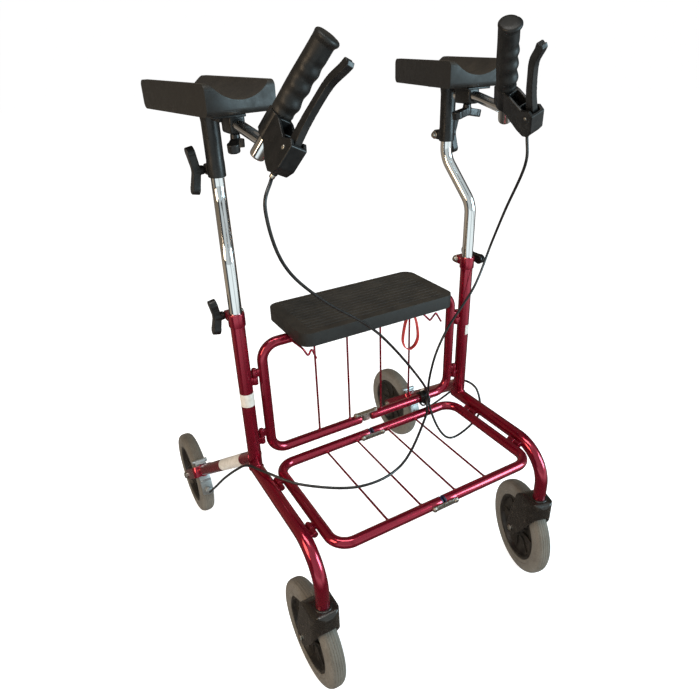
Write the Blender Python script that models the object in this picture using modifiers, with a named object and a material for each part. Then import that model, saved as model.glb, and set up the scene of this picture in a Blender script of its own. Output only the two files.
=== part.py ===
"""A folding four-wheeled walker with forearm troughs, as separate pieces on one empty.

Lengths are metres. Left is -X, right is +X, the front is -Y and the user stands at +Y.
Every position below is measured from the middle of the two red posts, on the floor; the
"walker" empty then moves the whole object so that its footprint is centred.
"""
import math

import bmesh
import bpy
from mathutils import Matrix, Vector

SIDES = {"left": -1, "right": 1}
POST_PLANE_Y = -0.0624           # the posts' place along the centred footprint
GAP = 0.0003                     # clearance between neighbouring pieces
RUN_GAP = 0.0004                 # radial clearance of a pin in its hole

# Side frames: red 25 mm tube
FRAME_R = 0.0125
POST_X = 0.2468
POST_TOP = 0.656
POST_BORE_BOTTOM = 0.392
RAIL_Z = 0.3287
BRACKET_FOOT_Z = 0.3560  # where the rear bracket's line meets the post
RAIL_BEND = 0.075                # centre-line radius of the bend into the caster stem
COLLAR_R = 0.0145
COLLAR_HEIGHT = 0.024
CLAMP_Z = 0.648                  # height of the post clamp's bolt
CLAMP_BACK = 0.0195              # clamp bolts pass this far behind their tube's axis
EAR_HALF = 0.0140                # half the width of a clamp's ears
SCREW_R = 0.0030
WING_REACH = 0.0320              # from a wing knob's axis to the end of a wing
WING_LOBE_R = 0.0095
SCREW_HOLE_R = 0.0034

# Wheels
WHEEL_R = 0.100
WHEEL_FLATS = 20
TYRE_HALF = 0.016
RIM_R = 0.0700
HUB_HALF = 0.0170
AXLE_R = 0.0050
REAR_X = 0.299
REAR_Y = 0.342
STEM_Y = -0.2645
STEM_PIN_R = 0.0050
TRAIL = 0.048                    # the caster wheel follows its stem by this much
FORK_TOP = 0.2215
ARM_X = 0.0235                   # middle of each caster arm
SWIVEL = {"left": 0.0, "right": math.radians(-15.7)}

# Rear bracket and brake
STRAP_WIDTH = 0.025
STRAP_THICK = 0.003
STRAP_HALF = 0.0225              # half of the fork's outside width
STRAP_BEND = 0.010               # outside radius of the fork's corners
CROWN_REACH = 0.1185             # from the axle to the outside of the crown
SHOE_PIVOT_ANGLE = math.radians(131)
SHOE_END_ANGLE = math.radians(178)
SHOE_INNER_R = 0.1030
SHOE_OUTER_R = 0.1110
SHOE_WIDTH = 0.0300
ANCHOR_ANGLE = math.radians(168)  # the cable's anchor on the shoe
ANCHOR_TOP_R = 0.1225

# Folding panels: red 19 mm tube
PANEL_R = 0.0095
PANEL_SIDE_X = 0.2104
PANEL_CORNER = 0.032
HINGE_X = 0.2280                 # both panels hinge on the side frames here
LINK_HALF = 0.0230               # the middle link's pins stand this far from the centre
BACK_LOW_Z = 0.3545
BACK_TOP_Z = 0.5840
SHELF_Z = 0.3260
SHELF_REAR_Y = -0.0173
SHELF_FRONT_Y = -0.2590
WIRE_R = 0.0020
WIRE_X = (0.0375, 0.1070)
BACK_HINGE_Z = (0.395, 0.525)
SHELF_HINGE_Y = (-0.065, -0.200)
KNUCKLE_R = 0.0055
KNUCKLE_LENGTH = 0.0145
HINGE_PIN_R = 0.0025
END_R = 0.0094                   # rounded end of each half's tubes
BACK_END = 0.0115                # it reaches this far past the link's pin
SHELF_END = 0.0215               # the shelf's halves butt together when it lies flat
LINK_WIDTH = 0.0100
LINK_THICK = 0.0030
LINK_PIN_R = 0.0025

# Seat
SEAT_HALF = 0.161
SEAT_FRONT_Y = -0.0730
SEAT_REAR_Y = 0.0840
SEAT_BOTTOM = 0.5938
SEAT_THICK = 0.0250
SEAT_CORNER = 0.022

# Forearm supports
ARM_RAISE = {"left": -0.004, "right": 0.004}
CHROME_R = 0.0110
CHROME_BOTTOM = 0.484
BEND_LOW_Z = 0.746
BEND_HIGH_Z = 0.853
BEND_BACK = 0.060
UPPER_X = 0.2285
CHROME_TOP = 0.948
SLEEVE_R = 0.0145
SLEEVE_BOTTOM = 0.870
SLEEVE_CLAMP_Z = 0.880
PLATE_TOP = 0.9690
PLATE_THICK = 0.0040
TROUGH_SIZE = (0.110, 0.218, 0.042)
TROUGH_AT = (0.228, 0.0645)
TROUGH_YAW = math.radians(9)
CHANNEL_R = 0.059
CHANNEL_DEPTH = 0.0227
BAR_R = 0.0085
BAR_X = 0.2155
BAR_Z = 0.9540
BAR_CLAMP_Y = (-0.028, 0.012)

# Hand end: heights along the grip's axis and reach towards the lever
STUB_FOOT = Vector((0.221, -0.101, 0.921))
GRIP_AXIS = Vector((-0.433, -0.416, 0.799)).normalized()
LEVER_SIDE = Vector((0.082, -0.902, -0.424))
BAR_MEETS = 0.0238
GRIP_FROM, GRIP_TO = 0.0700, 0.1800
GRIP_R = 0.0160
HOUSING_HALF = 0.0125
LEVER_PIVOT = (0.060, 0.053)
LEVER_HALF = 0.0050

CABLE_R = 0.0025
ROUND = 16                       # sides of the large round tubes
SMALL_ROUND = 8                  # sides of pins and knuckles
BOOLEAN_WELD = 0.000002          # finer than any edge a join or a cut leaves


# ---------------------------------------------------------------- scene and materials
def clear_scene():
    """Takes out whatever stands in the file at the start."""
    for obj in list(bpy.data.objects):
        bpy.data.objects.remove(obj, do_unlink=True)


def new_collection(name):
    collection = bpy.data.collections.new(name)
    bpy.context.scene.collection.children.link(collection)
    return collection


def material(name, color, roughness, metallic=0.0):
    """Returns a plain Principled material."""
    made = bpy.data.materials.new(name)
    made.use_nodes = True
    shader = made.node_tree.nodes["Principled BSDF"]
    shader.inputs["Base Color"].default_value = (*color, 1)
    shader.inputs["Roughness"].default_value = roughness
    shader.inputs["Metallic"].default_value = metallic
    made.diffuse_color = (*color, 1)
    return made


clear_scene()
PARTS = new_collection("forearm_walker")
WALKER = bpy.data.objects.new("walker", None)
WALKER.location = (0, POST_PLANE_Y, 0)
PARTS.objects.link(WALKER)
RED = material("candy_red_paint", (0.20, 0.008, 0.02), 0.25, 0.8)
CHROME = material("chrome", (0.75, 0.76, 0.78), 0.08, 1.0)
BLACK = material("black_plastic", (0.03, 0.029, 0.028), 0.5)
GREY_RUBBER = material("grey_rubber", (0.29, 0.26, 0.22), 0.8)
STEEL = material("zinc_steel", (0.5, 0.5, 0.5), 0.35, 1.0)
WEBBING = material("red_webbing", (0.7, 0.02, 0.02), 0.8)


# ---------------------------------------------------------------- shapes, as bare meshes
def place_object(mesh):
    """Stands a mesh in the scene for as long as a shape is being worked out."""
    obj = bpy.data.objects.new("shape", mesh)
    bpy.context.scene.collection.objects.link(obj)
    return obj


def evaluated(obj, spent=(), weld=0.00001):
    """Returns the welded mesh an object evaluates to, and removes the object."""
    bpy.context.view_layer.update()
    graph = bpy.context.evaluated_depsgraph_get()
    mesh = bpy.data.meshes.new_from_object(obj.evaluated_get(graph))
    for used in (obj, *spent):
        bpy.data.objects.remove(used, do_unlink=True)
    bm = bmesh.new()
    bm.from_mesh(mesh)
    bmesh.ops.remove_doubles(bm, verts=bm.verts, dist=weld)
    bmesh.ops.recalc_face_normals(bm, faces=bm.faces)
    bm.to_mesh(mesh)
    bm.free()
    return mesh


def combine(operation, base, *tools):
    """Joins the tools to the base, or cuts them from it, one after the other."""
    for tool in tools:
        body, guide = place_object(base), place_object(tool)
        step = body.modifiers.new("combine", "BOOLEAN")
        step.operation = operation
        step.solver = "EXACT"
        step.object = guide
        base = evaluated(body, [guide], weld=BOOLEAN_WELD)
    return base


def join(base, *tools):
    return combine("UNION", base, *tools)


def cut(base, *tools):
    return combine("DIFFERENCE", base, *tools)


def from_bmesh(bm, matrix=Matrix()):
    mesh = bpy.data.meshes.new("shape")
    bm.to_mesh(mesh)
    bm.free()
    mesh.transform(matrix)
    return mesh


def box(low, high):
    """A block between two corners, given in any order."""
    low, high = Vector(low), Vector(high)
    size = [abs(h - l) for l, h in zip(low, high)]
    bm = bmesh.new()
    bmesh.ops.create_cube(bm, size=1)
    return from_bmesh(bm, Matrix.Translation((low + high) / 2) @ Matrix.Diagonal((*size, 1)))


def along(start, direction):
    """The matrix whose +Z runs from start along a direction."""
    turn = Vector(direction).to_track_quat("Z", "Y").to_matrix().to_4x4()
    return Matrix.Translation(start) @ turn


def rod(start, end, radius, sides=SMALL_ROUND):
    """A straight cylinder between two points."""
    start, end = Vector(start), Vector(end)
    length = (end - start).length
    bm = bmesh.new()
    bmesh.ops.create_cone(
        bm, cap_ends=True, segments=sides, radius1=radius, radius2=radius, depth=length
    )
    return from_bmesh(bm, along(start, end - start) @ Matrix.Translation((0, 0, length / 2)))


def cross_hole(at, radius=None):
    """A cutter for a hole across X, through whatever is within 40 mm."""
    x, y, z = at
    return rod((x - 0.04, y, z), (x + 0.04, y, z), radius or SCREW_HOLE_R)


def turned(profile, steps, matrix=Matrix(), closed=False):
    """Turns (radius, height) points, outer side from top to bottom, about +Z."""
    mesh = bpy.data.meshes.new("profile")
    edges = [(i, i + 1) for i in range(len(profile) - 1)]
    if closed:
        edges.append((len(profile) - 1, 0))
    mesh.from_pydata([(r, 0, z) for r, z in profile], edges, [])
    obj = place_object(mesh)
    screw = obj.modifiers.new("turn", "SCREW")
    screw.steps = screw.render_steps = steps
    screw.use_merge_vertices = True
    screw.merge_threshold = 0.00001
    made = evaluated(obj)
    made.transform(matrix)
    return made


def fillet(points, radius, closed=False, steps=3):
    """Replaces each corner of a polyline by an arc."""
    points = [Vector(p) for p in points]
    count = len(points)
    path = []
    for i, corner in enumerate(points):
        if not closed and i in (0, count - 1):
            path.append(corner)
            continue
        back = (points[i - 1] - corner).normalized()
        ahead = (points[(i + 1) % count] - corner).normalized()
        half = back.angle(ahead) / 2
        centre = corner + (back + ahead).normalized() * radius / math.sin(half)
        first = (corner + back * radius / math.tan(half) - centre).normalized()
        last = (corner + ahead * radius / math.tan(half) - centre).normalized()
        path += [centre + radius * first.slerp(last, k / steps) for k in range(steps + 1)]
    return path


def curve_object(curve, splines, cyclic):
    for line in splines:
        spline = curve.splines.new("POLY")
        spline.points.add(len(line) - 1)
        for point, place in zip(spline.points, line):
            point.co = (*place, 1) if len(place) == 3 else (*place, 0, 1)
        spline.use_cyclic_u = cyclic
    return place_object(curve)


def tube(path, radius, sides=10):
    """A round bar along a path, with closed ends."""
    curve = bpy.data.curves.new("tube", "CURVE")
    curve.dimensions = "3D"
    curve.bevel_depth = radius
    curve.bevel_resolution = (sides - 4) // 2
    curve.use_fill_caps = True
    return evaluated(curve_object(curve, [path], False))


def slab(outlines, thickness, matrix=Matrix()):
    """A flat plate of the given thickness, centred on its outline's plane."""
    curve = bpy.data.curves.new("slab", "CURVE")
    curve.dimensions = "2D"
    curve.fill_mode = "BOTH"
    curve.extrude = thickness / 2
    made = evaluated(curve_object(curve, outlines, True))
    made.transform(matrix)
    return made


def arc(centre, radius, start, end, steps):
    """Points of a plane arc, with its angles in degrees."""
    angles = [math.radians(start + (end - start) * k / steps) for k in range(steps + 1)]
    return [(centre[0] + radius * math.cos(a), centre[1] + radius * math.sin(a)) for a in angles]


def stadium(length, width):
    """A slot-shaped outline whose ends are half circles."""
    reach = (length - width) / 2
    return arc((reach, 0), width / 2, -90, 90, 4) + arc((-reach, 0), width / 2, 90, 270, 4)


def finish(name, mesh, look, origin=(0, 0, 0), parent=None):
    """Turns a shape into a named piece whose origin is at the given point."""
    origin = Vector(origin)
    mesh.transform(Matrix.Translation(-origin))
    mesh.name = name
    mesh.materials.clear()
    mesh.materials.append(look)
    mesh.shade_smooth()
    mesh.set_sharp_from_angle(angle=math.radians(35))
    obj = bpy.data.objects.new(name, mesh)
    obj.parent = parent or WALKER
    obj.location = origin
    PARTS.objects.link(obj)
    return obj


# ---------------------------------------------------------------- wheels
def wheel(name, centre, parent=None):
    """A grey tyre on a dark rim, turning about X; its flats keep it from rolling."""
    outer = WHEEL_R / math.cos(math.pi / WHEEL_FLATS)
    half = TYRE_HALF
    tyre = [
        (outer, 0.010), (outer, -0.010), (outer - 0.008, -half), (RIM_R + GAP, 0.001 - half),
        (RIM_R + GAP, half - 0.001), (outer - 0.008, half),
    ]
    bore = AXLE_R + RUN_GAP
    rim = [
        (RIM_R, 0.012), (RIM_R, -0.012), (0.060, -0.005), (0.020, -0.006), (bore, -HUB_HALF),
        (bore, HUB_HALF), (0.020, 0.006), (0.060, 0.005),
    ]
    spin = Matrix.Translation(centre) @ Matrix.Rotation(math.pi / 2, 4, "Y")
    spin = spin @ Matrix.Rotation(math.pi / WHEEL_FLATS, 4, "Z")
    finish(f"{name.replace('wheel', 'tyre')}", turned(tyre, WHEEL_FLATS, spin, True), GREY_RUBBER,
           centre, parent)
    finish(f"{name.replace('wheel', 'rim')}", turned(rim, WHEEL_FLATS, spin, True), BLACK,
           centre, parent)


def axle(name, centre, inside, outside, parent=None):
    """A bolt through a fork, with a head beyond each arm."""
    x, y, z = centre
    shank = rod((x - outside, y, z), (x + outside, y, z), AXLE_R)
    heads = [
        rod((x + s * inside, y, z), (x + s * outside, y, z), 0.0085, 6) for s in (-1, 1)
    ]
    finish(name, join(shank, *heads), STEEL, centre, parent)


# ---------------------------------------------------------------- hinges
def hinge(pin, axis, frame_at, panel_at):
    """Returns a hinge's frame-side shape, its panel-side shape and the panel's bore."""
    pin, axis = Vector(pin), Vector(axis)
    frame_at, panel_at = Vector(frame_at), Vector(panel_at)
    low, high = pin - axis * KNUCKLE_LENGTH, pin + axis * KNUCKLE_LENGTH
    bolt = join(
        rod(low, pin - axis * GAP / 2, KNUCKLE_R),
        rod(pin - axis * 0.004, high + axis * 0.002, HINGE_PIN_R),
        rod(high + axis * GAP, high + axis * 0.003, 0.0045),
        lug(pin - axis * KNUCKLE_LENGTH / 2, frame_at - axis * KNUCKLE_LENGTH / 2, axis),
    )
    knuckle = join(
        rod(pin + axis * GAP / 2, high, KNUCKLE_R),
        lug(pin + axis * KNUCKLE_LENGTH / 2, panel_at + axis * KNUCKLE_LENGTH / 2, axis),
    )
    bore = rod(pin - axis * 0.001, high + axis * 0.001, HINGE_PIN_R + RUN_GAP)
    return bolt, knuckle, bore


def back_hinge(s, z):
    return hinge((s * HINGE_X, 0, z), (0, 0, 1), (s * POST_X, 0, z), (s * PANEL_SIDE_X, 0, z))


def shelf_hinge(s, y):
    pin, frame_at = (s * HINGE_X, y, SHELF_Z), (s * POST_X, y, SHELF_Z)
    return hinge(pin, (0, 1, 0), frame_at, (s * PANEL_SIDE_X, y, SHELF_Z))


def lug(start, end, axis):
    """A bar from just past a knuckle's axis to its tube."""
    half = KNUCKLE_LENGTH / 2 - GAP
    across = axis.cross(end - start).normalized() * 0.0035
    start = start + (start - end).normalized() * 0.0012
    return box(start - across - axis * half, end + across + axis * half)


# ---------------------------------------------------------------- side frames
def post(side, s):
    """The upright, with a clamp collar at its top and a bore for the chrome tube."""
    x = s * POST_X
    shape = tube([(x, 0, RAIL_Z + 0.001), (x, 0, POST_TOP - 0.002)], FRAME_R, ROUND)
    collar = rod((x, 0, POST_TOP - COLLAR_HEIGHT), (x, 0, POST_TOP), COLLAR_R, ROUND)
    ears = box(
        (x - EAR_HALF, 0.008, CLAMP_Z - 0.009), (x + EAR_HALF, CLAMP_BACK + 0.006, POST_TOP - 0.001)
    )
    hinges = [back_hinge(s, z)[0] for z in BACK_HINGE_Z]
    shape = join(shape, collar, ears, *hinges)
    bore = rod((x, 0, POST_BORE_BOTTOM), (x, 0, POST_TOP + 0.01), CHROME_R + RUN_GAP, ROUND)
    saddle = rod((x, -0.02, RAIL_Z), (x, 0.02, RAIL_Z), FRAME_R + GAP, 20)
    bolt_hole = cross_hole((x, CLAMP_BACK, CLAMP_Z))
    finish(f"post_tube_{side}", cut(shape, bore, saddle, bolt_hole), RED)


def rail(side, s):
    """The lower rail, bent down at the front into the caster's stem."""
    x = s * POST_X
    corner = (x, STEM_Y, RAIL_Z)
    path = fillet([(x, 0.013, RAIL_Z), corner, (x, STEM_Y, FORK_TOP + GAP)], RAIL_BEND, steps=7)
    pin = rod((x, STEM_Y, FORK_TOP - 0.016), (x, STEM_Y, FORK_TOP + 0.004), STEM_PIN_R)
    hinges = [shelf_hinge(s, y)[0] for y in SHELF_HINGE_Y]
    finish(f"side_rail_{side}", join(tube(path, FRAME_R, ROUND), pin, *hinges), RED)


def bracket_frame(s):
    """The rear bracket's own axes: X towards the axle, Y to the side, origin at the axle."""
    axle_at = Vector((s * REAR_X, REAR_Y, WHEEL_R))
    slope = Vector((0, REAR_Y, WHEEL_R - BRACKET_FOOT_Z)).normalized()
    across = Vector((1, 0, 0))
    turn = Matrix((slope, across, slope.cross(across))).transposed().to_4x4()
    return Matrix.Translation(axle_at) @ turn, slope


def rear_bracket(side, s):
    """The sloping tube behind the post and the strap fork that holds the rear wheel."""
    place, slope = bracket_frame(s)
    inner, end = STRAP_HALF - STRAP_THICK, 0.014
    back = -CROWN_REACH
    outside = [(end, STRAP_HALF), (back, STRAP_HALF), (back, -STRAP_HALF), (end, -STRAP_HALF)]
    inside = [(end, -inner), (back + STRAP_THICK, -inner), (back + STRAP_THICK, inner), (end, inner)]
    outside, inside = fillet(outside, STRAP_BEND), fillet(inside, STRAP_BEND - STRAP_THICK)
    strap = slab([outside + inside], STRAP_WIDTH, place)
    x = s * POST_X
    start = Vector((x, 0, BRACKET_FOOT_Z)) + slope * 0.004
    crown = place @ Vector((back + STRAP_THICK / 2, 0, 0))
    arm = tube([start, crown], FRAME_R, ROUND)
    shape = join(arm, strap)
    hole = cross_hole(place.translation, AXLE_R + RUN_GAP)
    clear_post = rod((x, 0, RAIL_Z - 0.03), (x, 0, RAIL_Z + 0.06), FRAME_R + GAP, ROUND)
    clear_rail = rod((x, -0.05, RAIL_Z), (x, 0.013 + GAP, RAIL_Z), FRAME_R + GAP, ROUND)
    finish(f"rear_bracket_{side}", cut(shape, hole, clear_post, clear_rail), RED)


def around_wheel(s, radius, angle, x=0.0):
    """A point beside the rear wheel, by its radius and angle from the back."""
    return Vector((
        s * REAR_X + x, REAR_Y + radius * math.cos(angle), WHEEL_R + radius * math.sin(angle)
    ))


def brake_shoe(side, s):
    """A curved pad before the rear tyre, hung from a pin above the crown."""
    start, end = (math.degrees(a) for a in (SHOE_PIVOT_ANGLE, SHOE_END_ANGLE))
    outline = arc((0, 0), SHOE_INNER_R, start, end, 8) + arc((0, 0), SHOE_OUTER_R, end, start, 8)
    place = Matrix.Translation(around_wheel(s, 0, 0)) @ Matrix.Rotation(math.pi / 2, 4, "Z")
    place = place @ Matrix.Rotation(math.pi / 2, 4, "X")
    pad = slab([outline], SHOE_WIDTH, place)
    middle = (SHOE_INNER_R + SHOE_OUTER_R) / 2
    eye = [around_wheel(s, middle, SHOE_PIVOT_ANGLE, x) for x in (-0.017, 0.017)]
    anchor = [around_wheel(s, r, ANCHOR_ANGLE) for r in (middle, ANCHOR_TOP_R)]
    shape = join(pad, rod(*eye, 0.0045), rod(*anchor, 0.0080))
    finish(f"brake_shoe_{side}", shape, STEEL, around_wheel(s, middle, SHOE_PIVOT_ANGLE))


# ---------------------------------------------------------------- casters
def caster(side, s):
    """A plastic fork that swivels on the stem, its axle and its wheel."""
    swivel = bpy.data.objects.new(f"caster_swivel_{side}", None)
    swivel.parent = WALKER
    swivel.location = (s * POST_X, STEM_Y, 0)
    swivel.rotation_euler.z = SWIVEL[side]
    PARTS.objects.link(swivel)
    arm_outline = (
        arc((TRAIL, WHEEL_R), 0.0175, 200, 380, 8)
        + [(0.036, 0.198), (0.024, 0.210), (-0.026, 0.210), (-0.028, 0.188)]
    )
    upright = Matrix.Rotation(math.pi / 2, 4, "Z") @ Matrix.Rotation(math.pi / 2, 4, "X")
    arms = [
        slab([arm_outline], 0.007, Matrix.Translation((x, 0, 0)) @ upright) for x in (-ARM_X, ARM_X)
    ]
    crown = box((-0.024, -0.028, 0.2030), (0.024, 0.020, 0.2100))
    collar = rod((0, 0, 0.2040), (0, 0, FORK_TOP), 0.0225, ROUND)
    fork = join(crown, collar, *arms)
    bore = rod((0, 0, 0.19), (0, 0, 0.24), STEM_PIN_R + RUN_GAP)
    hole = cross_hole((0, TRAIL, WHEEL_R), AXLE_R + RUN_GAP)
    finish(f"caster_fork_{side}", cut(fork, bore, hole), BLACK, parent=swivel)
    centre = (0, TRAIL, WHEEL_R)
    axle(f"caster_axle_{side}", centre, 0.0274, 0.0320, swivel)
    wheel(f"front_wheel_{side}", centre, swivel)


# ---------------------------------------------------------------- folding panels
def half_panel(s, low, high, wires, ends):
    """One half of a panel: a bent tube, its wires and the eyes at its open ends."""
    inner, outer = LINK_HALF + 0.0012, PANEL_SIDE_X
    path = fillet([low(inner), low(outer), high(outer), high(inner)], PANEL_CORNER)
    bars = [tube([low(x), high(x)], WIRE_R, 4) for x in wires]
    return join(tube(path, PANEL_R), *bars, *ends)


def tube_end(pin, s, reach):
    """The rounded closed end of a half panel's tube, round the pin of its middle link."""
    profile = [
        (0.0, reach), (END_R - 0.003, reach - 0.0006), (END_R, reach - 0.0045),
        (END_R, -0.002), (0.0, -0.002),
    ]
    return turned(profile, 12, along(pin, (-s, 0, 0)))


def back_panel(side, s):
    """The upright half panel behind the shelf, with a wire hook under the seat's front."""
    def at(z):
        return lambda x: Vector((s * x, 0, z))

    low, high = at(BACK_LOW_Z), at(BACK_TOP_Z)
    ends = [tube_end(p, s, BACK_END) for p in (low(LINK_HALF), high(LINK_HALF))]
    x = {"left": -0.157, "right": 0.096}[side]
    pitch = {"left": 0.0075, "right": 0.0133}[side]
    drop = (0.5880, 0.5735, 0.5865, 0.5650)
    zigzag = [(x + pitch * k, -0.064, z) for k, z in enumerate(drop)]
    hook = tube([(x, -0.004, BACK_TOP_Z), (x, -0.055, 0.5885), *zigzag], 0.0017, 4)
    shape = half_panel(s, low, high, WIRE_X, [*ends, hook])
    pins = []
    for z in BACK_HINGE_Z:
        _, knuckle, bore = back_hinge(s, z)
        shape = join(shape, knuckle)
        pins.append(bore)
    pins.append(rod(low(LINK_HALF), low(LINK_HALF) + Vector((0, 0, 0.02)), LINK_PIN_R + RUN_GAP))
    pins.append(rod(high(LINK_HALF) - Vector((0, 0, 0.02)), high(LINK_HALF), LINK_PIN_R + RUN_GAP))
    finish(f"back_frame_{side}", cut(shape, *pins), RED, (s * HINGE_X, 0, BACK_LOW_Z))


def shelf_panel(side, s):
    """One half of the level shelf before the back panel."""
    def at(y):
        return lambda x: Vector((s * x, y, SHELF_Z))

    low, high = at(SHELF_REAR_Y), at(SHELF_FRONT_Y)
    ends = [tube_end(p, s, SHELF_END) for p in (low(LINK_HALF), high(LINK_HALF))]
    shape = half_panel(s, low, high, WIRE_X, ends)
    pins = []
    for y in SHELF_HINGE_Y:
        _, knuckle, bore = shelf_hinge(s, y)
        shape = join(shape, knuckle)
        pins.append(bore)
    for end in (low(LINK_HALF), high(LINK_HALF)):
        pins.append(rod(end - Vector((0, 0.02, 0)), end, LINK_PIN_R + RUN_GAP))
    finish(f"shelf_frame_{side}", cut(shape, *pins), RED, (s * HINGE_X, SHELF_REAR_Y, SHELF_Z))


def link_plate(name, middle, outward, tongue=False):
    """A steel strip across the two halves' ends, with a pin at each end.

    A tongue hangs from the strip's middle between the two ends."""
    middle, outward = Vector(middle), Vector(outward)
    face = PANEL_R + GAP
    along_x = Vector((1, 0, 0))
    turn = Matrix((along_x, outward.cross(along_x), outward)).transposed().to_4x4()
    centre = middle + outward * (face + LINK_THICK / 2)
    outline = stadium(2 * LINK_HALF + LINK_WIDTH, LINK_WIDTH)
    shape = slab([outline], LINK_THICK, Matrix.Translation(centre) @ turn)
    if tongue:
        corner = Vector((0.0075, 0.0045, 0)) if outward.z else Vector((0.0075, 0, 0.0045))
        foot = middle - outward * 0.0060
        shape = join(shape, box(foot - corner, middle + outward * (face + 0.001) + corner))
    head = face + LINK_THICK + 0.0022
    for x in (-LINK_HALF, LINK_HALF):
        foot = middle + Vector((x, 0, 0))
        shape = join(
            shape,
            rod(foot + outward * 0.0015, foot + outward * (face + 0.001), LINK_PIN_R),
            rod(foot + outward * (face + 0.001), foot + outward * head, 0.004),
        )
    finish(name, shape, STEEL, middle - Vector((LINK_HALF, 0, 0)))


# ---------------------------------------------------------------- seat and small pieces
def seat():
    """The moulded board on the back panel's top tubes."""
    ends = (SEAT_FRONT_Y, SEAT_REAR_Y)
    corners = [(x, y) for x in (-SEAT_HALF, SEAT_HALF) for y in (ends if x < 0 else ends[::-1])]
    outline = fillet(corners, SEAT_CORNER, closed=True)
    board = slab([outline], SEAT_THICK, Matrix.Translation((0, 0, SEAT_BOTTOM + SEAT_THICK / 2)))
    finish("seat_board", board, BLACK, (0, 0, BACK_TOP_Z))


def pull_strap():
    """A loop of webbing that hangs from the right half's top tube."""
    upright = Matrix.Translation((0.0995, -0.0145, 0.532)) @ Matrix.Rotation(math.pi / 2, 4, "X")
    angles = [k * math.tau / 18 for k in range(18)]
    loops = [
        [((0.0185 - thick) * math.cos(a), (0.040 - thick) * math.sin(a)) for a in angles]
        for thick in (0, 0.003)
    ]
    finish("pull_strap", slab(loops, 0.008, upright), WEBBING)


def cable_tie():
    """A block round the right half's lower tube that gathers both cables."""
    x, y, z = 0.141, 0.0, BACK_LOW_Z
    block = join(
        rod((x - 0.012, y, z), (x + 0.012, y, z), 0.0130, ROUND),
        box((x - 0.009, -0.017, z - 0.008), (x + 0.009, -0.006, z + 0.010)),
    )
    bore = rod((x - 0.02, y, z), (x + 0.02, y, z), PANEL_R + RUN_GAP, ROUND)
    finish("cable_tie", cut(block, bore), BLACK)


# ---------------------------------------------------------------- forearm supports
def chrome_post(side, s, lift):
    """The tube that slides in the post, with an S-bend towards the back."""
    path = fillet(
        [
            (s * POST_X, 0, CHROME_BOTTOM + lift),
            (s * POST_X, 0, BEND_LOW_Z + 0.012 + lift),
            (s * UPPER_X, BEND_BACK, BEND_HIGH_Z - 0.012 + lift),
            (s * UPPER_X, BEND_BACK, CHROME_TOP + lift),
        ],
        0.055, steps=5,
    )
    finish(f"chrome_post_{side}", tube(path, CHROME_R, ROUND), CHROME)


def arm_sleeve(side, s, lift):
    """The black sleeve, the plate under the trough and the clamp for the hand bar."""
    x, y = s * UPPER_X, BEND_BACK
    top, bolt, bar_x, bar_z = PLATE_TOP + lift, SLEEVE_CLAMP_Z + lift, s * BAR_X, BAR_Z + lift
    front, back = BAR_CLAMP_Y
    far_ear = (x + EAR_HALF, y + CLAMP_BACK + 0.006, bolt + 0.009)
    shape = join(
        rod((x, y, SLEEVE_BOTTOM + lift), (x, y, top - 0.001), SLEEVE_R, ROUND),
        box((x - EAR_HALF, y + 0.008, bolt - 0.008), far_ear),
        box((s * (BAR_X - 0.014), front, top - PLATE_THICK), (s * (BAR_X + 0.035), 0.088, top)),
        box((bar_x - 0.012, front, bar_z - 0.012), (bar_x + 0.012, back, top - 0.001)),
    )
    bore_from, bore_to = SLEEVE_BOTTOM - 0.01 + lift, CHROME_TOP + 0.002 + lift
    shape = cut(
        shape,
        rod((x, y, bore_from), (x, y, bore_to), CHROME_R + RUN_GAP, ROUND),
        rod((bar_x, 0.03, bar_z), (bar_x, -0.04, bar_z), BAR_R + GAP, ROUND),
        cross_hole((x, y + CLAMP_BACK, bolt)),
        rod((bar_x, -0.010, bar_z - 0.02), (bar_x, -0.010, bar_z), SCREW_HOLE_R),
    )
    finish(f"arm_sleeve_{side}", shape, BLACK, (x, y, SLEEVE_BOTTOM + lift))


def trough(side, s, lift):
    """The forearm trough: a rounded block with an open channel along its top."""
    wide, long, tall = TROUGH_SIZE
    foot = PLATE_TOP + 2 * GAP + lift
    at = Matrix.Translation((s * TROUGH_AT[0], TROUGH_AT[1], foot))
    place = at @ Matrix.Rotation(-s * TROUGH_YAW, 4, "Z")
    corners = [(-long / 2, 0), (long / 2, 0), (long / 2, tall), (-long / 2, tall)]
    side_view = fillet(corners, 0.006, closed=True, steps=2)
    upright = Matrix.Rotation(math.pi / 2, 4, "Z") @ Matrix.Rotation(math.pi / 2, 4, "X")
    block = slab([side_view], wide, place @ upright)
    centre = tall - CHANNEL_DEPTH + CHANNEL_R
    ends = [place @ Vector((0, y, centre)) for y in (-long, long)]
    groove = rod(*ends, CHANNEL_R, 36)
    finish(f"arm_trough_{side}", cut(block, groove), BLACK, (s * UPPER_X, BEND_BACK, foot))


def hand_matrix(s, lift):
    """Axes of the hand end: X towards the lever, Y up the grip, origin at the stub's foot."""
    flip = Vector((s, 1, 1))
    up = GRIP_AXIS * flip
    ahead = LEVER_SIDE * flip
    ahead = (ahead - up * ahead.dot(up)).normalized()
    turn = Matrix((ahead, up, ahead.cross(up))).transposed().to_4x4()
    return Matrix.Translation(STUB_FOOT * flip + Vector((0, 0, lift))) @ turn


def hand_bar(side, s, lift):
    """The chrome bar from the clamp to the stub that carries the grip."""
    place = hand_matrix(s, lift)
    meets = place @ Vector((0, BAR_MEETS, 0))
    path = fillet([(s * BAR_X, 0.020, BAR_Z + lift), (s * BAR_X, -0.036, BAR_Z + lift), meets], 0.03)
    stub = rod(place @ Vector((0, 0, 0)), place @ Vector((0, 0.120, 0)), CHROME_R, ROUND)
    finish(f"hand_bar_{side}", join(tube(path, BAR_R, ROUND), stub), CHROME, path[0])


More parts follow.
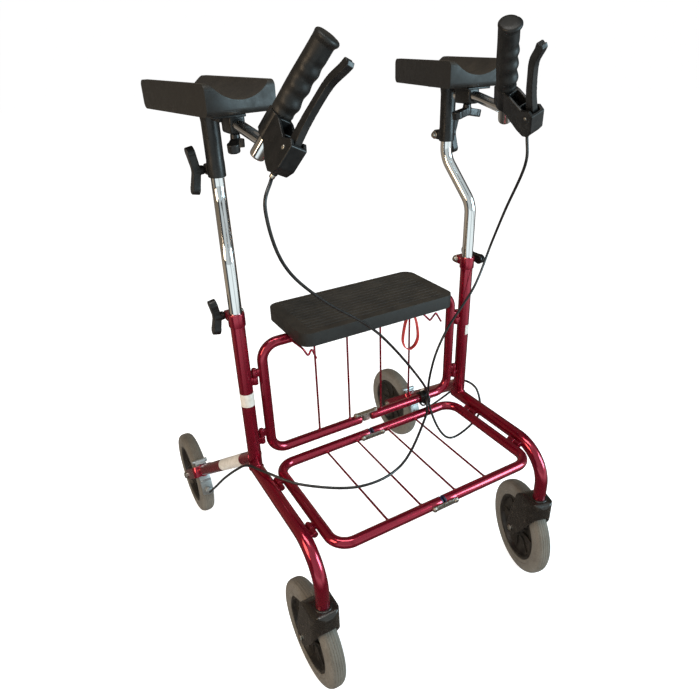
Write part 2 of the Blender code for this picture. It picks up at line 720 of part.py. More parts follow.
def hand_grip(side, s, lift):
    """The black grip with finger waves and a flared end."""
    place = hand_matrix(s, lift) @ Matrix.Rotation(-math.pi / 2, 4, "X")
    profile = [(0.0, GRIP_TO), (0.014, GRIP_TO), (0.0205, GRIP_TO - 0.005), (0.0190, GRIP_TO - 0.011)]
    waves = 9
    for k in range(waves + 1):
        height = GRIP_TO - 0.016 - (GRIP_TO - 0.016 - GRIP_FROM) * k / waves
        profile.append((GRIP_R + 0.0007 * math.cos(k * math.pi / 1.5), height))
    bore = CHROME_R + RUN_GAP
    profile += [(bore, GRIP_FROM), (bore, 0.1205), (0.0, 0.1205)]
    finish(f"hand_grip_{side}", turned(profile, ROUND, place), BLACK, place.translation)


def brake_housing(side, s, lift):
    """The block round the stub, with a pocket and a pin for the lever."""
    place = hand_matrix(s, lift)
    outline = [
        (-0.0165, 0.034), (0.016, 0.030), (0.044, 0.018), (0.058, 0.016), (0.070, 0.022),
        (0.0835, 0.034), (0.0835, 0.068), (0.070, 0.072), (0.050, 0.060), (0.018, 0.0685),
        (-0.0165, 0.0685),
    ]
    shape = slab([outline], 2 * HOUSING_HALF, place)
    pocket = [(0.043, 0.036), (0.079, 0.036), (0.079, 0.090), (0.043, 0.090)]
    shape = cut(
        shape,
        rod(place @ Vector((0, 0.01, 0)), place @ Vector((0, 0.09, 0)), CHROME_R + RUN_GAP, ROUND),
        slab([pocket], 2 * LEVER_HALF + 0.003, place),
    )
    pin = [place @ Vector((*LEVER_PIVOT, z)) for z in (-0.011, 0.011)]
    shape = join(shape, rod(*pin, HINGE_PIN_R))
    finish(f"brake_housing_{side}", shape, BLACK, place.translation)


def brake_lever(side, s, lift):
    """The finger lever beside the grip, turning on the housing's pin."""
    place = hand_matrix(s, lift)
    pivot_x, pivot_y = LEVER_PIVOT
    outline = arc(LEVER_PIVOT, 0.0080, 170, 370, 8) + [
        (pivot_x + 0.0105, 0.078), (pivot_x + 0.0175, 0.105), (pivot_x + 0.0165, 0.135),
        (pivot_x + 0.0085, 0.158), (pivot_x + 0.0120, 0.176), (pivot_x + 0.0040, 0.181),
        (pivot_x - 0.0010, 0.158), (pivot_x + 0.0070, 0.132), (pivot_x + 0.0060, 0.105),
        (pivot_x - 0.0030, 0.078),
    ]
    shape = slab([outline], 2 * LEVER_HALF, place)
    ends = [place @ Vector((pivot_x, pivot_y, z)) for z in (-0.02, 0.02)]
    finish(f"brake_lever_{side}", cut(shape, rod(*ends, HINGE_PIN_R + RUN_GAP)), BLACK,
           place @ Vector((pivot_x, pivot_y, 0)))


# ---------------------------------------------------------------- clamps
def wing_knob(name, seat_at, outward, turn, screw=0.010, reach=WING_REACH):
    """A two-winged knob whose screw enters the clamp; it turns about its own axis."""
    place = along(seat_at, outward) @ Matrix.Rotation(turn, 4, "Z")
    lobe = reach - WING_LOBE_R
    wings = arc((lobe, 0), WING_LOBE_R, -148, 148, 6) + arc((-lobe, 0), WING_LOBE_R, 32, 328, 6)
    shape = join(
        slab([wings], 0.009, place @ Matrix.Translation((0, 0, 0.017))),
        rod(place @ Vector((0, 0, GAP)), place @ Vector((0, 0, 0.018)), 0.0075),
        rod(place @ Vector((0, 0, -screw)), place @ Vector((0, 0, 0.002)), SCREW_R),
    )
    finish(name, shape, BLACK, seat_at)


def clamp_bolt(name, seat_at, outward):
    """The round head on a clamp's inner side, with its shank in the ear."""
    place = along(seat_at, outward)
    shape = join(
        rod(place @ Vector((0, 0, GAP)), place @ Vector((0, 0, 0.0065)), 0.0060),
        rod(place @ Vector((0, 0, -0.008)), place @ Vector((0, 0, 0.002)), SCREW_R),
    )
    finish(name, shape, STEEL, seat_at)


def clamps(side, s, lift):
    """The knobs and bolt heads of the post, sleeve and hand-bar clamps."""
    quarter = math.pi / 2
    outward = Vector((s, 0, 0))
    post_at = Vector((s * POST_X, CLAMP_BACK, CLAMP_Z))
    sleeve_at = Vector((s * UPPER_X, BEND_BACK + CLAMP_BACK, SLEEVE_CLAMP_Z + lift))
    under_bar = Vector((s * BAR_X, -0.010, BAR_Z - 0.012 + lift))
    turn = {"left": quarter, "right": 0.15}[side]
    wing_knob(f"post_knob_{side}", post_at + outward * EAR_HALF, outward, turn)
    wing_knob(f"sleeve_knob_{side}", sleeve_at + outward * EAR_HALF, outward, quarter, reach=0.038)
    turn = {"left": 2.08, "right": 3.05}[side]
    wing_knob(f"bar_knob_{side}", under_bar, Vector((0, 0, -1)), turn, screw=0.0028)
    clamp_bolt(f"post_bolt_{side}", post_at - outward * EAR_HALF, -outward)
    clamp_bolt(f"sleeve_bolt_{side}", sleeve_at - outward * EAR_HALF, -outward)


# ---------------------------------------------------------------- cables
def smooth_path(points, per_span=2):
    """A Catmull-Rom line through guide points."""
    guides = [Vector(p) for p in points]
    guides = [2 * guides[0] - guides[1], *guides, 2 * guides[-1] - guides[-2]]
    path = []
    for a, b, c, d in zip(guides, guides[1:], guides[2:], guides[3:]):
        for k in range(per_span):
            t = k / per_span
            square = (2 * a - 5 * b + 4 * c - d) * t ** 2
            cube = (3 * b - a - 3 * c + d) * t ** 3
            path.append(0.5 * (2 * b + (c - a) * t + square + cube))
    return [*path, guides[-2]]


def cables():
    """Each brake cable, from below its lever to its shoe, gathered at the tie."""
    for side, lift, guides in (
        ("left", ARM_RAISE["left"], [
            (-0.243, -0.172, 0.864), (-0.219, -0.160, 0.782), (-0.152, -0.135, 0.705),
            (-0.020, -0.089, 0.590), (0.117, -0.040, 0.416), (0.136, -0.029, 0.358),
            (0.100, -0.068, 0.347), (-0.015, -0.155, 0.342), (-0.112, -0.166, 0.342),
            (-0.200, -0.115, 0.348), (-0.245, -0.052, 0.3515), (-0.265, -0.006, 0.345),
            (-0.274, 0.040, 0.308), (-0.285, 0.111, 0.239), (-0.292, 0.175, 0.172),
        ]),
        ("right", ARM_RAISE["right"], [
            (0.226, -0.152, 0.860), (0.261, -0.080, 0.765), (0.296, -0.014, 0.678),
            (0.242, -0.032, 0.601), (0.175, -0.034, 0.522), (0.146, -0.030, 0.449),
            (0.143, -0.024, 0.362), (0.162, -0.044, 0.285), (0.205, -0.044, 0.250),
            (0.266, -0.050, 0.290), (0.275, -0.028, 0.345), (0.266, 0.018, 0.349),
            (0.276, 0.055, 0.300), (0.285, 0.111, 0.239), (0.292, 0.175, 0.172),
        ]),
    ):
        s = SIDES[side]
        leaves = hand_matrix(s, lift) @ Vector((0.0545, 0.012, 0))
        arrives = around_wheel(s, ANCHOR_TOP_R + 0.0040, ANCHOR_ANGLE)
        path = smooth_path([leaves, *guides, arrives])
        finish(f"brake_cable_{side}", tube(path, CABLE_R, 4), BLACK)


def build():
    for side, s in SIDES.items():
        lift = ARM_RAISE[side]
        post(side, s)
        rail(side, s)
        rear_bracket(side, s)
        rear = (s * REAR_X, REAR_Y, WHEEL_R)
        axle(f"rear_axle_{side}", rear, STRAP_HALF + GAP, 0.0300)
        wheel(f"rear_wheel_{side}", rear)
        brake_shoe(side, s)
        caster(side, s)
        back_panel(side, s)
        shelf_panel(side, s)
        chrome_post(side, s, lift)
        arm_sleeve(side, s, lift)
        trough(side, s, lift)
        hand_bar(side, s, lift)
        hand_grip(side, s, lift)
        brake_housing(side, s, lift)
        brake_lever(side, s, lift)
        clamps(side, s, lift)
    link_plate("back_link_lower", (0, 0, BACK_LOW_Z), (0, 0, 1), tongue=True)
    link_plate("back_link_upper", (0, 0, BACK_TOP_Z), (0, 0, -1))
    link_plate("shelf_link_rear", (0, SHELF_REAR_Y, SHELF_Z), (0, -1, 0))
    link_plate("shelf_link_front", (0, SHELF_FRONT_Y, SHELF_Z), (0, -1, 0))
    seat()
    pull_strap()
    cable_tie()
    cables()


build()
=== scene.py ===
"""Looks of the folding forearm walker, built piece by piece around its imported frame.

Lengths are metres. Shapes are worked out in the walker's own coordinates, which start on the
floor between the two red posts, and piece() moves them to the frame's place.
"""
import math

import bmesh
import bpy
from mathutils import Matrix, Vector


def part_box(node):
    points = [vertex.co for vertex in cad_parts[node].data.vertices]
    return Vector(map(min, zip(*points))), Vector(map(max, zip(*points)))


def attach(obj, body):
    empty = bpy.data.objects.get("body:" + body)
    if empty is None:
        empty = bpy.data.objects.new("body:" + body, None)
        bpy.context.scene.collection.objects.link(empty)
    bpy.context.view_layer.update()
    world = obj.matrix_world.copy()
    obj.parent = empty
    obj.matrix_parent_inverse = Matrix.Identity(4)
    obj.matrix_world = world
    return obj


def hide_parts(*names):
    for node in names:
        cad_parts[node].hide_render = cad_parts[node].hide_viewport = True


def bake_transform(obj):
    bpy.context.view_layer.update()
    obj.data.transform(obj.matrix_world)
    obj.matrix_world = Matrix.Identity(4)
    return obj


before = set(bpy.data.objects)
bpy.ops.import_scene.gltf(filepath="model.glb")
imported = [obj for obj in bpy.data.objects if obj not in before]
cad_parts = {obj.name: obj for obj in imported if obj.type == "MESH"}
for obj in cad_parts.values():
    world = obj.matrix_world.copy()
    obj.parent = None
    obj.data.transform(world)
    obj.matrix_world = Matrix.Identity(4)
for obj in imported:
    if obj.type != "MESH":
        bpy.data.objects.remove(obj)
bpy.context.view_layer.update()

SIDES = {"left": -1, "right": 1}
X, Y, Z = Vector((1, 0, 0)), Vector((0, 1, 0)), Vector((0, 0, 1))
STAND_UP = Matrix.Rotation(math.pi / 2, 4, "X")              # a plan's Y becomes Z
SIDE_ON = Matrix.Rotation(math.pi / 2, 4, "Z") @ STAND_UP    # a plan's X, Y become Y, Z
UP_TO_GRIP = Matrix.Rotation(-math.pi / 2, 4, "X")           # Z becomes Y


def low(node):
    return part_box(node)[0]


def high(node):
    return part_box(node)[1]


def middle(node):
    return (low(node) + high(node)) / 2


# Driving sizes, from the frame
COLLAR_R = 0.0145
FRAME_R = 0.0125
POST_PLANE_Y = low("post_tube_left").y + COLLAR_R
TO_FRAME = Matrix.Translation((0, POST_PLANE_Y, 0))
POST_X = -low("post_tube_left").x - COLLAR_R
POST_TOP = high("post_tube_left").z
RAIL_Z = high("side_rail_left").z - FRAME_R
REAR_X = middle("rear_rim_right").x
REAR_Y = middle("rear_rim_right").y - POST_PLANE_Y
WHEEL_R = middle("rear_rim_right").z
SEAT_BOTTOM, SEAT_TOP = low("seat_board").z, high("seat_board").z
SEAT_HALF = high("seat_board").x
SEAT_FRONT_Y = low("seat_board").y - POST_PLANE_Y
SEAT_REAR_Y = high("seat_board").y - POST_PLANE_Y

COLLAR_HEIGHT = 0.024
CLAMP_Z = POST_TOP - 0.008
CLAMP_BACK = 0.0195
EAR_HALF = 0.0140
POST_BORE_BOTTOM = 0.392
RAIL_BEND = 0.075
TYRE_HALF = 0.016
RIM_R = 0.070
HUB_HALF = 0.017
STEM_Y = -0.2645
TRAIL = 0.048
FORK_TOP = 0.2215
FORK_HALF = 0.0266
SWIVEL = {"left": 0.0, "right": math.radians(-15.7)}
STRAP_WIDTH, STRAP_THICK, STRAP_HALF, STRAP_BEND = 0.025, 0.003, 0.0225, 0.010
CROWN_REACH = 0.1185
SHOE_FROM, SHOE_TO = 131, 174    # degrees round the rear wheel
SHOE_INNER_R, SHOE_OUTER_R = 0.1030, 0.1110
ANCHOR_ANGLE, ANCHOR_TOP_R = 168, 0.1225
SHOE_WIDTH = 0.025
BRACKET_FOOT_Z = 0.356
PANEL_R = 0.0095
PANEL_SIDE_X = 0.2104
PANEL_CORNER = 0.032
HINGE_X = 0.2280
LINK_HALF = 0.0230
BACK_LOW_Z, BACK_TOP_Z = 0.3545, 0.5840
SHELF_Z, SHELF_REAR_Y, SHELF_FRONT_Y = 0.3260, -0.0173, -0.2590
BACK_END, PLUG_FROM, PLUG_END = 0.0115, 0.0180, 0.0215
WIRE_R = 0.0020
WIRE_X = (0.0375, 0.1070)
BACK_HINGE_Z = (0.395, 0.525)
SHELF_HINGE_Y = (-0.065, -0.200)
KNUCKLE_R, KNUCKLE_LENGTH = 0.0055, 0.0145
LINK_WIDTH, LINK_THICK = 0.0100, 0.0030
ARM_RAISE = {"left": -0.004, "right": 0.004}
CHROME_R = 0.0110
CHROME_BOTTOM = 0.484
BEND_LOW_Z, BEND_HIGH_Z, BEND_BACK = 0.746, 0.853, 0.060
UPPER_X = 0.2285
CHROME_TOP = 0.948
SLEEVE_R, SLEEVE_BOTTOM, SLEEVE_CLAMP_Z = 0.0145, 0.870, 0.880
PLATE_TOP, PLATE_THICK = 0.9690, 0.0040
TROUGH_SIZE, TROUGH_AT, TROUGH_YAW = (0.110, 0.218, 0.042), (0.228, 0.0645), math.radians(9)
CHANNEL_R, CHANNEL_DEPTH = 0.059, 0.0227
BAR_R, BAR_X, BAR_Z, BAR_CLAMP_Y = 0.0085, 0.2155, 0.9540, (-0.028, 0.012)
STUB_FOOT = Vector((0.221, -0.101, 0.921))
GRIP_AXIS = Vector((-0.433, -0.416, 0.799)).normalized()
LEVER_SIDE = Vector((0.082, -0.902, -0.424))
BAR_MEETS = 0.0238
GRIP_FROM, GRIP_TO = 0.0700, 0.1800
BORE_TOP = 0.1205
BEAD_R = 0.0016
HOUSING_HALF = 0.0125
LEVER_PIVOT = (0.060, 0.053)
CABLE_R = 0.0025
GAP = 0.0003


# ---------------------------------------------------------------- material nodes
class Look:
    """Builds one procedural material around its Principled shader."""

    def __init__(self, name, color, roughness, metallic=0.0, **sockets):
        self.material = bpy.data.materials.new(name)
        self.material.use_nodes = True
        self.material.diffuse_color = (*color, 1)
        self.nodes = self.material.node_tree.nodes
        self.links = self.material.node_tree.links
        self.shader = self.nodes["Principled BSDF"]
        self.shader.inputs["Base Color"].default_value = (*color, 1)
        self.shader.inputs["Roughness"].default_value = roughness
        self.shader.inputs["Metallic"].default_value = metallic
        for socket, value in sockets.items():
            self.shader.inputs[socket.replace("_", " ")].default_value = value
        self.place = self.nodes.new("ShaderNodeTexCoord").outputs["Object"]

    def node(self, kind, **inputs):
        made = self.nodes.new(kind)
        for socket, value in inputs.items():
            socket = made.inputs[socket]
            if isinstance(value, bpy.types.NodeSocket):
                self.links.new(value, socket)
            else:
                socket.default_value = value
        return made

    def noise(self, scale, detail=3.0, roughness=0.55, stretch=(1, 1, 1)):
        """A noise pattern's value, its scale in features per metre."""
        mapped = self.node("ShaderNodeMapping", Vector=self.place, Scale=stretch).outputs[0]
        made = self.node(
            "ShaderNodeTexNoise", Vector=mapped, Scale=scale, Detail=detail, Roughness=roughness
        )
        return made.outputs["Fac"]

    def cells(self, scale, output="Distance"):
        return self.node("ShaderNodeTexVoronoi", Vector=self.place, Scale=scale).outputs[output]

    def waves(self, scale, direction):
        made = self.node("ShaderNodeTexWave", Vector=self.place, Scale=scale, Distortion=0.0)
        made.bands_direction = direction
        return made.outputs["Fac"]

    def ramp(self, value, start, end, dark=0.0, light=1.0):
        """Maps a value from one range to another, and clamps it."""
        made = self.node("ShaderNodeMapRange", Value=value)
        for socket, number in zip(("From Min", "From Max", "To Min", "To Max"), (start, end, dark, light)):
            made.inputs[socket].default_value = number
        return made.outputs[0]

    def mix(self, share, first, second):
        """Mixes two colours, each a tuple or a socket, and returns the result's socket."""
        made = self.nodes.new("ShaderNodeMix")
        made.data_type = "RGBA"
        for index, value in ((0, share), (6, first), (7, second)):
            if isinstance(value, bpy.types.NodeSocket):
                self.links.new(value, made.inputs[index])
            elif index:
                made.inputs[index].default_value = (*value, 1)
            else:
                made.inputs[index].default_value = value
        return made.outputs[2]

    def join_values(self, operation, first, second):
        made = self.nodes.new("ShaderNodeMath")
        made.operation = operation
        for socket, value in zip(made.inputs, (first, second)):
            if isinstance(value, bpy.types.NodeSocket):
                self.links.new(value, socket)
            else:
                socket.default_value = value
        return made.outputs[0]

    def patches(self, scale, detail, start, end, dark=0.0, light=1.0):
        """Noise stretched to a range of its own, for spots and wear."""
        return self.ramp(self.noise(scale, detail), start, end, dark, light)

    def color(self, socket):
        self.links.new(socket, self.shader.inputs["Base Color"])
        return self

    def spotted(self, spots, first, second):
        """Colours the surface from a first colour to a second where the spots are."""
        return self.color(self.mix(spots, first, second))

    def rough(self, socket):
        self.links.new(socket, self.shader.inputs["Roughness"])
        return self

    def bump(self, height, distance, strength=1.0):
        """Raises the surface by a height map, up to a distance in metres."""
        made = self.node("ShaderNodeBump", Height=height, Distance=distance, Strength=strength)
        if self.shader.inputs["Normal"].links:
            self.links.new(self.shader.inputs["Normal"].links[0].from_socket, made.inputs["Normal"])
        self.links.new(made.outputs[0], self.shader.inputs["Normal"])
        return self


def red_paint():
    look = Look("candy_red_paint", (0.34, 0.006, 0.030), 0.2, 0.8, Coat_Weight=0.8, Coat_Roughness=0.05)
    flake = look.ramp(look.cells(5200, output="Color"), 0.2, 0.8)
    cloud = look.patches(38, 4, 0.35, 0.7)
    base = look.mix(flake, (0.29, 0.005, 0.024), (0.40, 0.009, 0.038))
    look.spotted(cloud, base, (0.31, 0.005, 0.027))
    look.rough(look.patches(160, 3, 0.3, 0.75, 0.13, 0.26))
    return look.bump(look.noise(420, 2), 0.00004, 0.2)


def chrome():
    look = Look("chrome", (0.80, 0.81, 0.82), 0.06, 1.0)
    smear = look.noise(55, 5, 0.6, (1, 1, 0.35))
    look.rough(look.ramp(smear, 0.35, 0.8, 0.04, 0.13))
    return look.spotted(look.ramp(smear, 0.5, 0.9), (0.82, 0.83, 0.84), (0.70, 0.70, 0.70))


def pad_plastic():
    """Skin foam, brown grey on its upper faces: worn dust patches, kept to upward faces as painted top
    light.
    """
    look = Look("pad_plastic_worn_and_top_lit", (0.016, 0.015, 0.014), 0.6, Specular_IOR_Level=0.4)
    upward = look.nodes.new("ShaderNodeNewGeometry").outputs["Normal"]
    upward = look.node("ShaderNodeSeparateXYZ", Vector=upward).outputs[2]
    # painted top light: the dust patches are masked by the upward normal, so tops turn the lighter worn
    # tone and sides stay dark
    dust = look.join_values("MULTIPLY", look.ramp(upward, 0.25, 0.95), look.patches(26, 6, 0.25, 0.7))
    worn_and_top_lit = look.mix(look.patches(240, 4, 0.35, 0.7), (0.030, 0.026, 0.021), (0.042, 0.036, 0.029))
    plain = look.mix(look.noise(90, 3), (0.010, 0.0098, 0.0092), (0.017, 0.0158, 0.0142))
    look.spotted(dust, plain, worn_and_top_lit)
    look.rough(look.patches(60, 4, 0.3, 0.7, 0.36, 0.58))
    look.bump(look.noise(1500, 3), 0.00018, 0.5)
    return look.bump(look.cells(1100), 0.00012, 0.35)


def black_plastic():
    look = Look("satin_black_plastic", (0.010, 0.010, 0.0105), 0.34, Specular_IOR_Level=0.36)
    edge = look.patches(70, 5, 0.42, 0.75)
    look.spotted(edge, (0.0065, 0.0068, 0.0070), (0.0135, 0.0130, 0.0125))
    look.rough(look.patches(120, 4, 0.3, 0.7, 0.24, 0.42))
    return look.bump(look.noise(1800, 2), 0.00008, 0.3)


def grip_rubber():
    look = Look("grip_rubber", (0.010, 0.010, 0.010), 0.5, Specular_IOR_Level=0.34)
    look.spotted(look.patches(48, 5, 0.38, 0.7), (0.0068, 0.0070, 0.0070), (0.0135, 0.0130, 0.0118))
    look.rough(look.patches(90, 4, 0.3, 0.7, 0.36, 0.56))
    return look.bump(look.noise(2200, 2), 0.00008, 0.35)


def fork_plastic():
    look = Look("glossy_fork_plastic", (0.014, 0.012, 0.010), 0.18, Coat_Weight=0.3, Coat_Roughness=0.1)
    scuff = look.patches(85, 6, 0.52, 0.78)
    look.spotted(scuff, (0.013, 0.0105, 0.0085), (0.034, 0.028, 0.022))
    look.rough(look.patches(140, 4, 0.3, 0.75, 0.16, 0.36))
    return look.bump(look.noise(900, 2), 0.00005, 0.25)


def rim_plastic():
    look = Look("dusty_rim_plastic", (0.020, 0.018, 0.015), 0.36)
    dust = look.patches(60, 6, 0.38, 0.72)
    look.spotted(dust, (0.012, 0.0105, 0.009), (0.036, 0.030, 0.023))
    look.rough(look.patches(110, 4, 0.3, 0.7, 0.24, 0.48))
    return look.bump(look.noise(1400, 2), 0.00008, 0.3)


def grey_tyre():
    look = Look("warm_grey_tyre", (0.17, 0.15, 0.12), 0.7)
    blotch = look.patches(34, 6, 0.32, 0.7)
    speck = look.patches(420, 4, 0.45, 0.75)
    base = look.mix(blotch, (0.128, 0.113, 0.090), (0.178, 0.161, 0.133))
    look.spotted(speck, base, (0.105, 0.089, 0.067))
    look.rough(look.patches(75, 4, 0.3, 0.7, 0.5, 0.8))
    return look.bump(look.noise(1300, 4), 0.0002, 0.45)


def zinc_steel():
    look = Look("zinc_plated_steel", (0.56, 0.53, 0.47), 0.3, 1.0)
    film = look.patches(130, 5, 0.35, 0.7)
    look.spotted(film, (0.66, 0.64, 0.60), (0.48, 0.42, 0.33))
    look.rough(look.patches(320, 4, 0.3, 0.7, 0.2, 0.42))
    return look.bump(look.noise(1500, 3), 0.00005, 0.3)


def galvanised_steel():
    look = Look("galvanised_steel", (0.42, 0.44, 0.44), 0.42, 0.85)
    spangle = look.ramp(look.cells(420, output="Color"), 0.15, 0.85)
    look.spotted(spangle, (0.36, 0.38, 0.385), (0.47, 0.49, 0.49))
    look.rough(look.patches(200, 4, 0.3, 0.7, 0.34, 0.52))
    return look.bump(look.noise(900, 3), 0.00006, 0.3)


def cable_sheath():
    look = Look("cable_sheath", (0.012, 0.012, 0.012), 0.3)
    look.spotted(look.patches(65, 4, 0.4, 0.75), (0.008, 0.008, 0.008), (0.018, 0.017, 0.016))
    look.rough(look.patches(180, 3, 0.3, 0.7, 0.22, 0.42))
    return look.bump(look.noise(1200, 2), 0.00004, 0.25)


def red_webbing():
    look = Look("woven_red_webbing", (0.50, 0.012, 0.016), 0.75, Sheen_Weight=0.3, Sheen_Roughness=0.45)
    weft, warp = look.waves(520, "Z"), look.waves(420, "Y")
    weave = look.join_values("MULTIPLY", weft, warp)
    look.spotted(weave, (0.62, 0.018, 0.014), (0.95, 0.045, 0.030))
    return look.bump(weave, 0.0003, 0.8)


def label_film():
    look = Look("blank_label_film", (0.62, 0.58, 0.52), 0.4)
    look.spotted(look.patches(150, 4, 0.4, 0.75), (0.66, 0.62, 0.56), (0.50, 0.45, 0.38))
    return look.bump(look.noise(600, 2), 0.00004, 0.3)


def navy_plastic():
    look = Look("navy_plug_plastic", (0.010, 0.013, 0.046), 0.35)
    look.spotted(look.patches(170, 4, 0.4, 0.7), (0.008, 0.010, 0.040), (0.018, 0.023, 0.066))
    return look.bump(look.noise(1500, 2), 0.00005, 0.25)


LOOKS = {
    "red_frame": red_paint, "chrome_tube": chrome, "pad_plastic": pad_plastic,
    "grip_rubber": grip_rubber, "black_plastic": black_plastic, "fork_plastic": fork_plastic,
    "rim_plastic": rim_plastic, "grey_tyre": grey_tyre, "zinc_steel": zinc_steel,
    "galvanised_steel": galvanised_steel, "cable_sheath": cable_sheath, "red_webbing": red_webbing,
    "label_film": label_film, "navy_plastic": navy_plastic,
}
MATERIALS = {name: make().material for name, make in LOOKS.items()}


# ---------------------------------------------------------------- shapes, as bare meshes
def place_object(data):
    """Stands a mesh or curve in the scene for as long as a shape is being worked out."""
    obj = bpy.data.objects.new("shape", data)
    bpy.context.scene.collection.objects.link(obj)
    return obj


def evaluated(obj, spent=(), weld=0.00001):
    """Returns the welded mesh an object evaluates to, and removes the object."""
    bpy.context.view_layer.update()
    graph = bpy.context.evaluated_depsgraph_get()
    mesh = bpy.data.meshes.new_from_object(obj.evaluated_get(graph))
    for used in (obj, *spent):
        bpy.data.objects.remove(used, do_unlink=True)
    bm = bmesh.new()
    bm.from_mesh(mesh)
    bmesh.ops.remove_doubles(bm, verts=bm.verts, dist=weld)
    bmesh.ops.recalc_face_normals(bm, faces=bm.faces)
    bm.to_mesh(mesh)
    bm.free()
    return mesh


def combine(operation, base, *tools):
    """Joins the tools to the base, or cuts them from it, one after the other."""
    for tool in tools:
        body, guide = place_object(base), place_object(tool)
        step = body.modifiers.new("combine", "BOOLEAN")
        step.operation = operation
        step.solver = "MANIFOLD"
        step.object = guide
        base = evaluated(body, [guide], weld=0.000002)
    return base


def join(base, *tools):
    return combine("UNION", base, *tools)


def cut(base, *tools):
    return combine("DIFFERENCE", base, *tools)


def common(base, *tools):
    return combine("INTERSECT", base, *tools)


def together(*meshes):
    """Puts meshes in one, each still a closed shell of its own."""
    bm = bmesh.new()
    for mesh in meshes:
        bm.from_mesh(mesh)
    return from_bmesh(bm)


def modified(mesh, *steps):
    """Runs modifiers, each a kind and its settings, over a mesh."""
    obj = place_object(mesh)
    for kind, settings in steps:
        step = obj.modifiers.new(kind.lower(), kind)
        for name, value in settings.items():
            setattr(step, name, value)
    return evaluated(obj)


def bevelled(mesh, width, segments=3, angle=35):
    return modified(mesh, ("BEVEL", {
        "width": width, "segments": segments, "limit_method": "ANGLE", "angle_limit": math.radians(angle),
    }))


def moulded(mesh, voxel, rounds):
    """Rounds every edge and inner corner, as a mould does."""
    return modified(
        mesh,
        ("REMESH", {"mode": "VOXEL", "voxel_size": voxel}),
        ("SMOOTH", {"factor": 0.5, "iterations": rounds}),
    )


def from_bmesh(bm, matrix=Matrix()):
    mesh = bpy.data.meshes.new("shape")
    bm.to_mesh(mesh)
    bm.free()
    mesh.transform(matrix)
    return mesh


def box(first, second, edge=0.0):
    """A block between two corners, with its edges rounded if asked."""
    first, second = Vector(first), Vector(second)
    size = [abs(h - l) for l, h in zip(first, second)]
    bm = bmesh.new()
    bmesh.ops.create_cube(bm, size=1)
    block = from_bmesh(bm, Matrix.Translation((first + second) / 2) @ Matrix.Diagonal((*size, 1)))
    return bevelled(block, edge) if edge else block


def along(start, direction):
    """The matrix whose +Z runs from start along a direction."""
    turn = Vector(direction).to_track_quat("Z", "Y").to_matrix().to_4x4()
    return Matrix.Translation(start) @ turn


def turned(profile, steps=48, matrix=Matrix(), closed=False):
    """Turns (radius, height) points, outer side from top to bottom, about +Z."""
    mesh = bpy.data.meshes.new("profile")
    edges = [(i, i + 1) for i in range(len(profile) - 1)]
    if closed:
        edges.append((len(profile) - 1, 0))
    mesh.from_pydata([(r, 0, z) for r, z in profile], edges, [])
    made = modified(mesh, ("SCREW", {
        "steps": steps, "render_steps": steps, "use_merge_vertices": True, "merge_threshold": 0.00001,
    }))
    made.transform(matrix)
    return made


def quarter(radius, height, edge, start, end, steps=4):
    """Points of a profile's rounded corner, its angles in degrees."""
    angles = [math.radians(start + (end - start) * k / steps) for k in range(steps + 1)]
    return [(radius + edge * math.cos(a), height + edge * math.sin(a)) for a in angles]


def puck(start, end, radius, edge=0.0006, sides=40):
    """A turned cylinder between two points, with rounded rims."""
    start, end = Vector(start), Vector(end)
    length = (end - start).length
    edge = min(edge, radius * 0.45, length * 0.45)
    rims = quarter(radius - edge, length - edge, edge, 90, 0) + quarter(radius - edge, edge, edge, 0, -90)
    return turned([(0.0, length), *rims, (0.0, 0.0)], sides, along(start, end - start))


def rod(start, end, radius, sides=40):
    """A plain cylinder, to cut with."""
    return puck(start, end, radius, 0.00001, sides)


def ring(start, end, outer, inner, edge=0.0005):
    """A turned sleeve between two points."""
    start, end = Vector(start), Vector(end)
    length = (end - start).length
    edge = min(edge, (outer - inner) * 0.45, length * 0.45)
    profile = quarter(outer - edge, length - edge, edge, 90, 0) + quarter(outer - edge, edge, edge, 0, -90)
    profile += [(inner, 0.0), (inner, length)]
    return turned(profile, 48, along(start, end - start), closed=True)


def fillet(points, radius, closed=False, steps=8):
    """Replaces each corner of a polyline by an arc."""
    points = [Vector(p) for p in points]
    count = len(points)
    path = []
    for i, corner in enumerate(points):
        if not closed and i in (0, count - 1):
            path.append(corner)
            continue
        back = (points[i - 1] - corner).normalized()
        ahead = (points[(i + 1) % count] - corner).normalized()
        half = back.angle(ahead) / 2
        centre = corner + (back + ahead).normalized() * radius / math.sin(half)
        first = (corner + back * radius / math.tan(half) - centre).normalized()
        last = (corner + ahead * radius / math.tan(half) - centre).normalized()
        path += [centre + radius * first.slerp(last, k / steps) for k in range(steps + 1)]
    return path


def curve_object(curve, splines, cyclic):
    for line in splines:
        spline = curve.splines.new("POLY")
        spline.points.add(len(line) - 1)
        for point, place in zip(spline.points, line):
            point.co = (*place, 1) if len(place) == 3 else (*place, 0, 1)
        spline.use_cyclic_u = cyclic
    return place_object(curve)


def tube(path, radius, sides=32, closed=False):
    """A round bar along a path, with closed ends."""
    curve = bpy.data.curves.new("tube", "CURVE")
    curve.dimensions = "3D"
    curve.bevel_depth = radius
    curve.bevel_resolution = (sides - 4) // 2
    curve.use_fill_caps = not closed
    return evaluated(curve_object(curve, [path], closed))


def slab(outlines, thickness, matrix=Matrix(), edge=0.0):
    """A flat plate of the given thickness, centred on its outline's plane."""
    curve = bpy.data.curves.new("slab", "CURVE")
    curve.dimensions = "2D"
    curve.fill_mode = "BOTH"
    curve.extrude = thickness / 2
    made = evaluated(curve_object(curve, outlines, True))
    made = bevelled(made, edge) if edge else made
    made.transform(matrix)
    return made


def arc(centre, radius, start, end, steps=12):
    """Points of a plane arc, with its angles in degrees."""
    angles = [math.radians(start + (end - start) * k / steps) for k in range(steps + 1)]
    return [(centre[0] + radius * math.cos(a), centre[1] + radius * math.sin(a)) for a in angles]


def stadium(length, width):
    """A slot-shaped outline whose ends are half circles."""
    reach = (length - width) / 2
    return arc((reach, 0), width / 2, -90, 90) + arc((-reach, 0), width / 2, 90, 270)


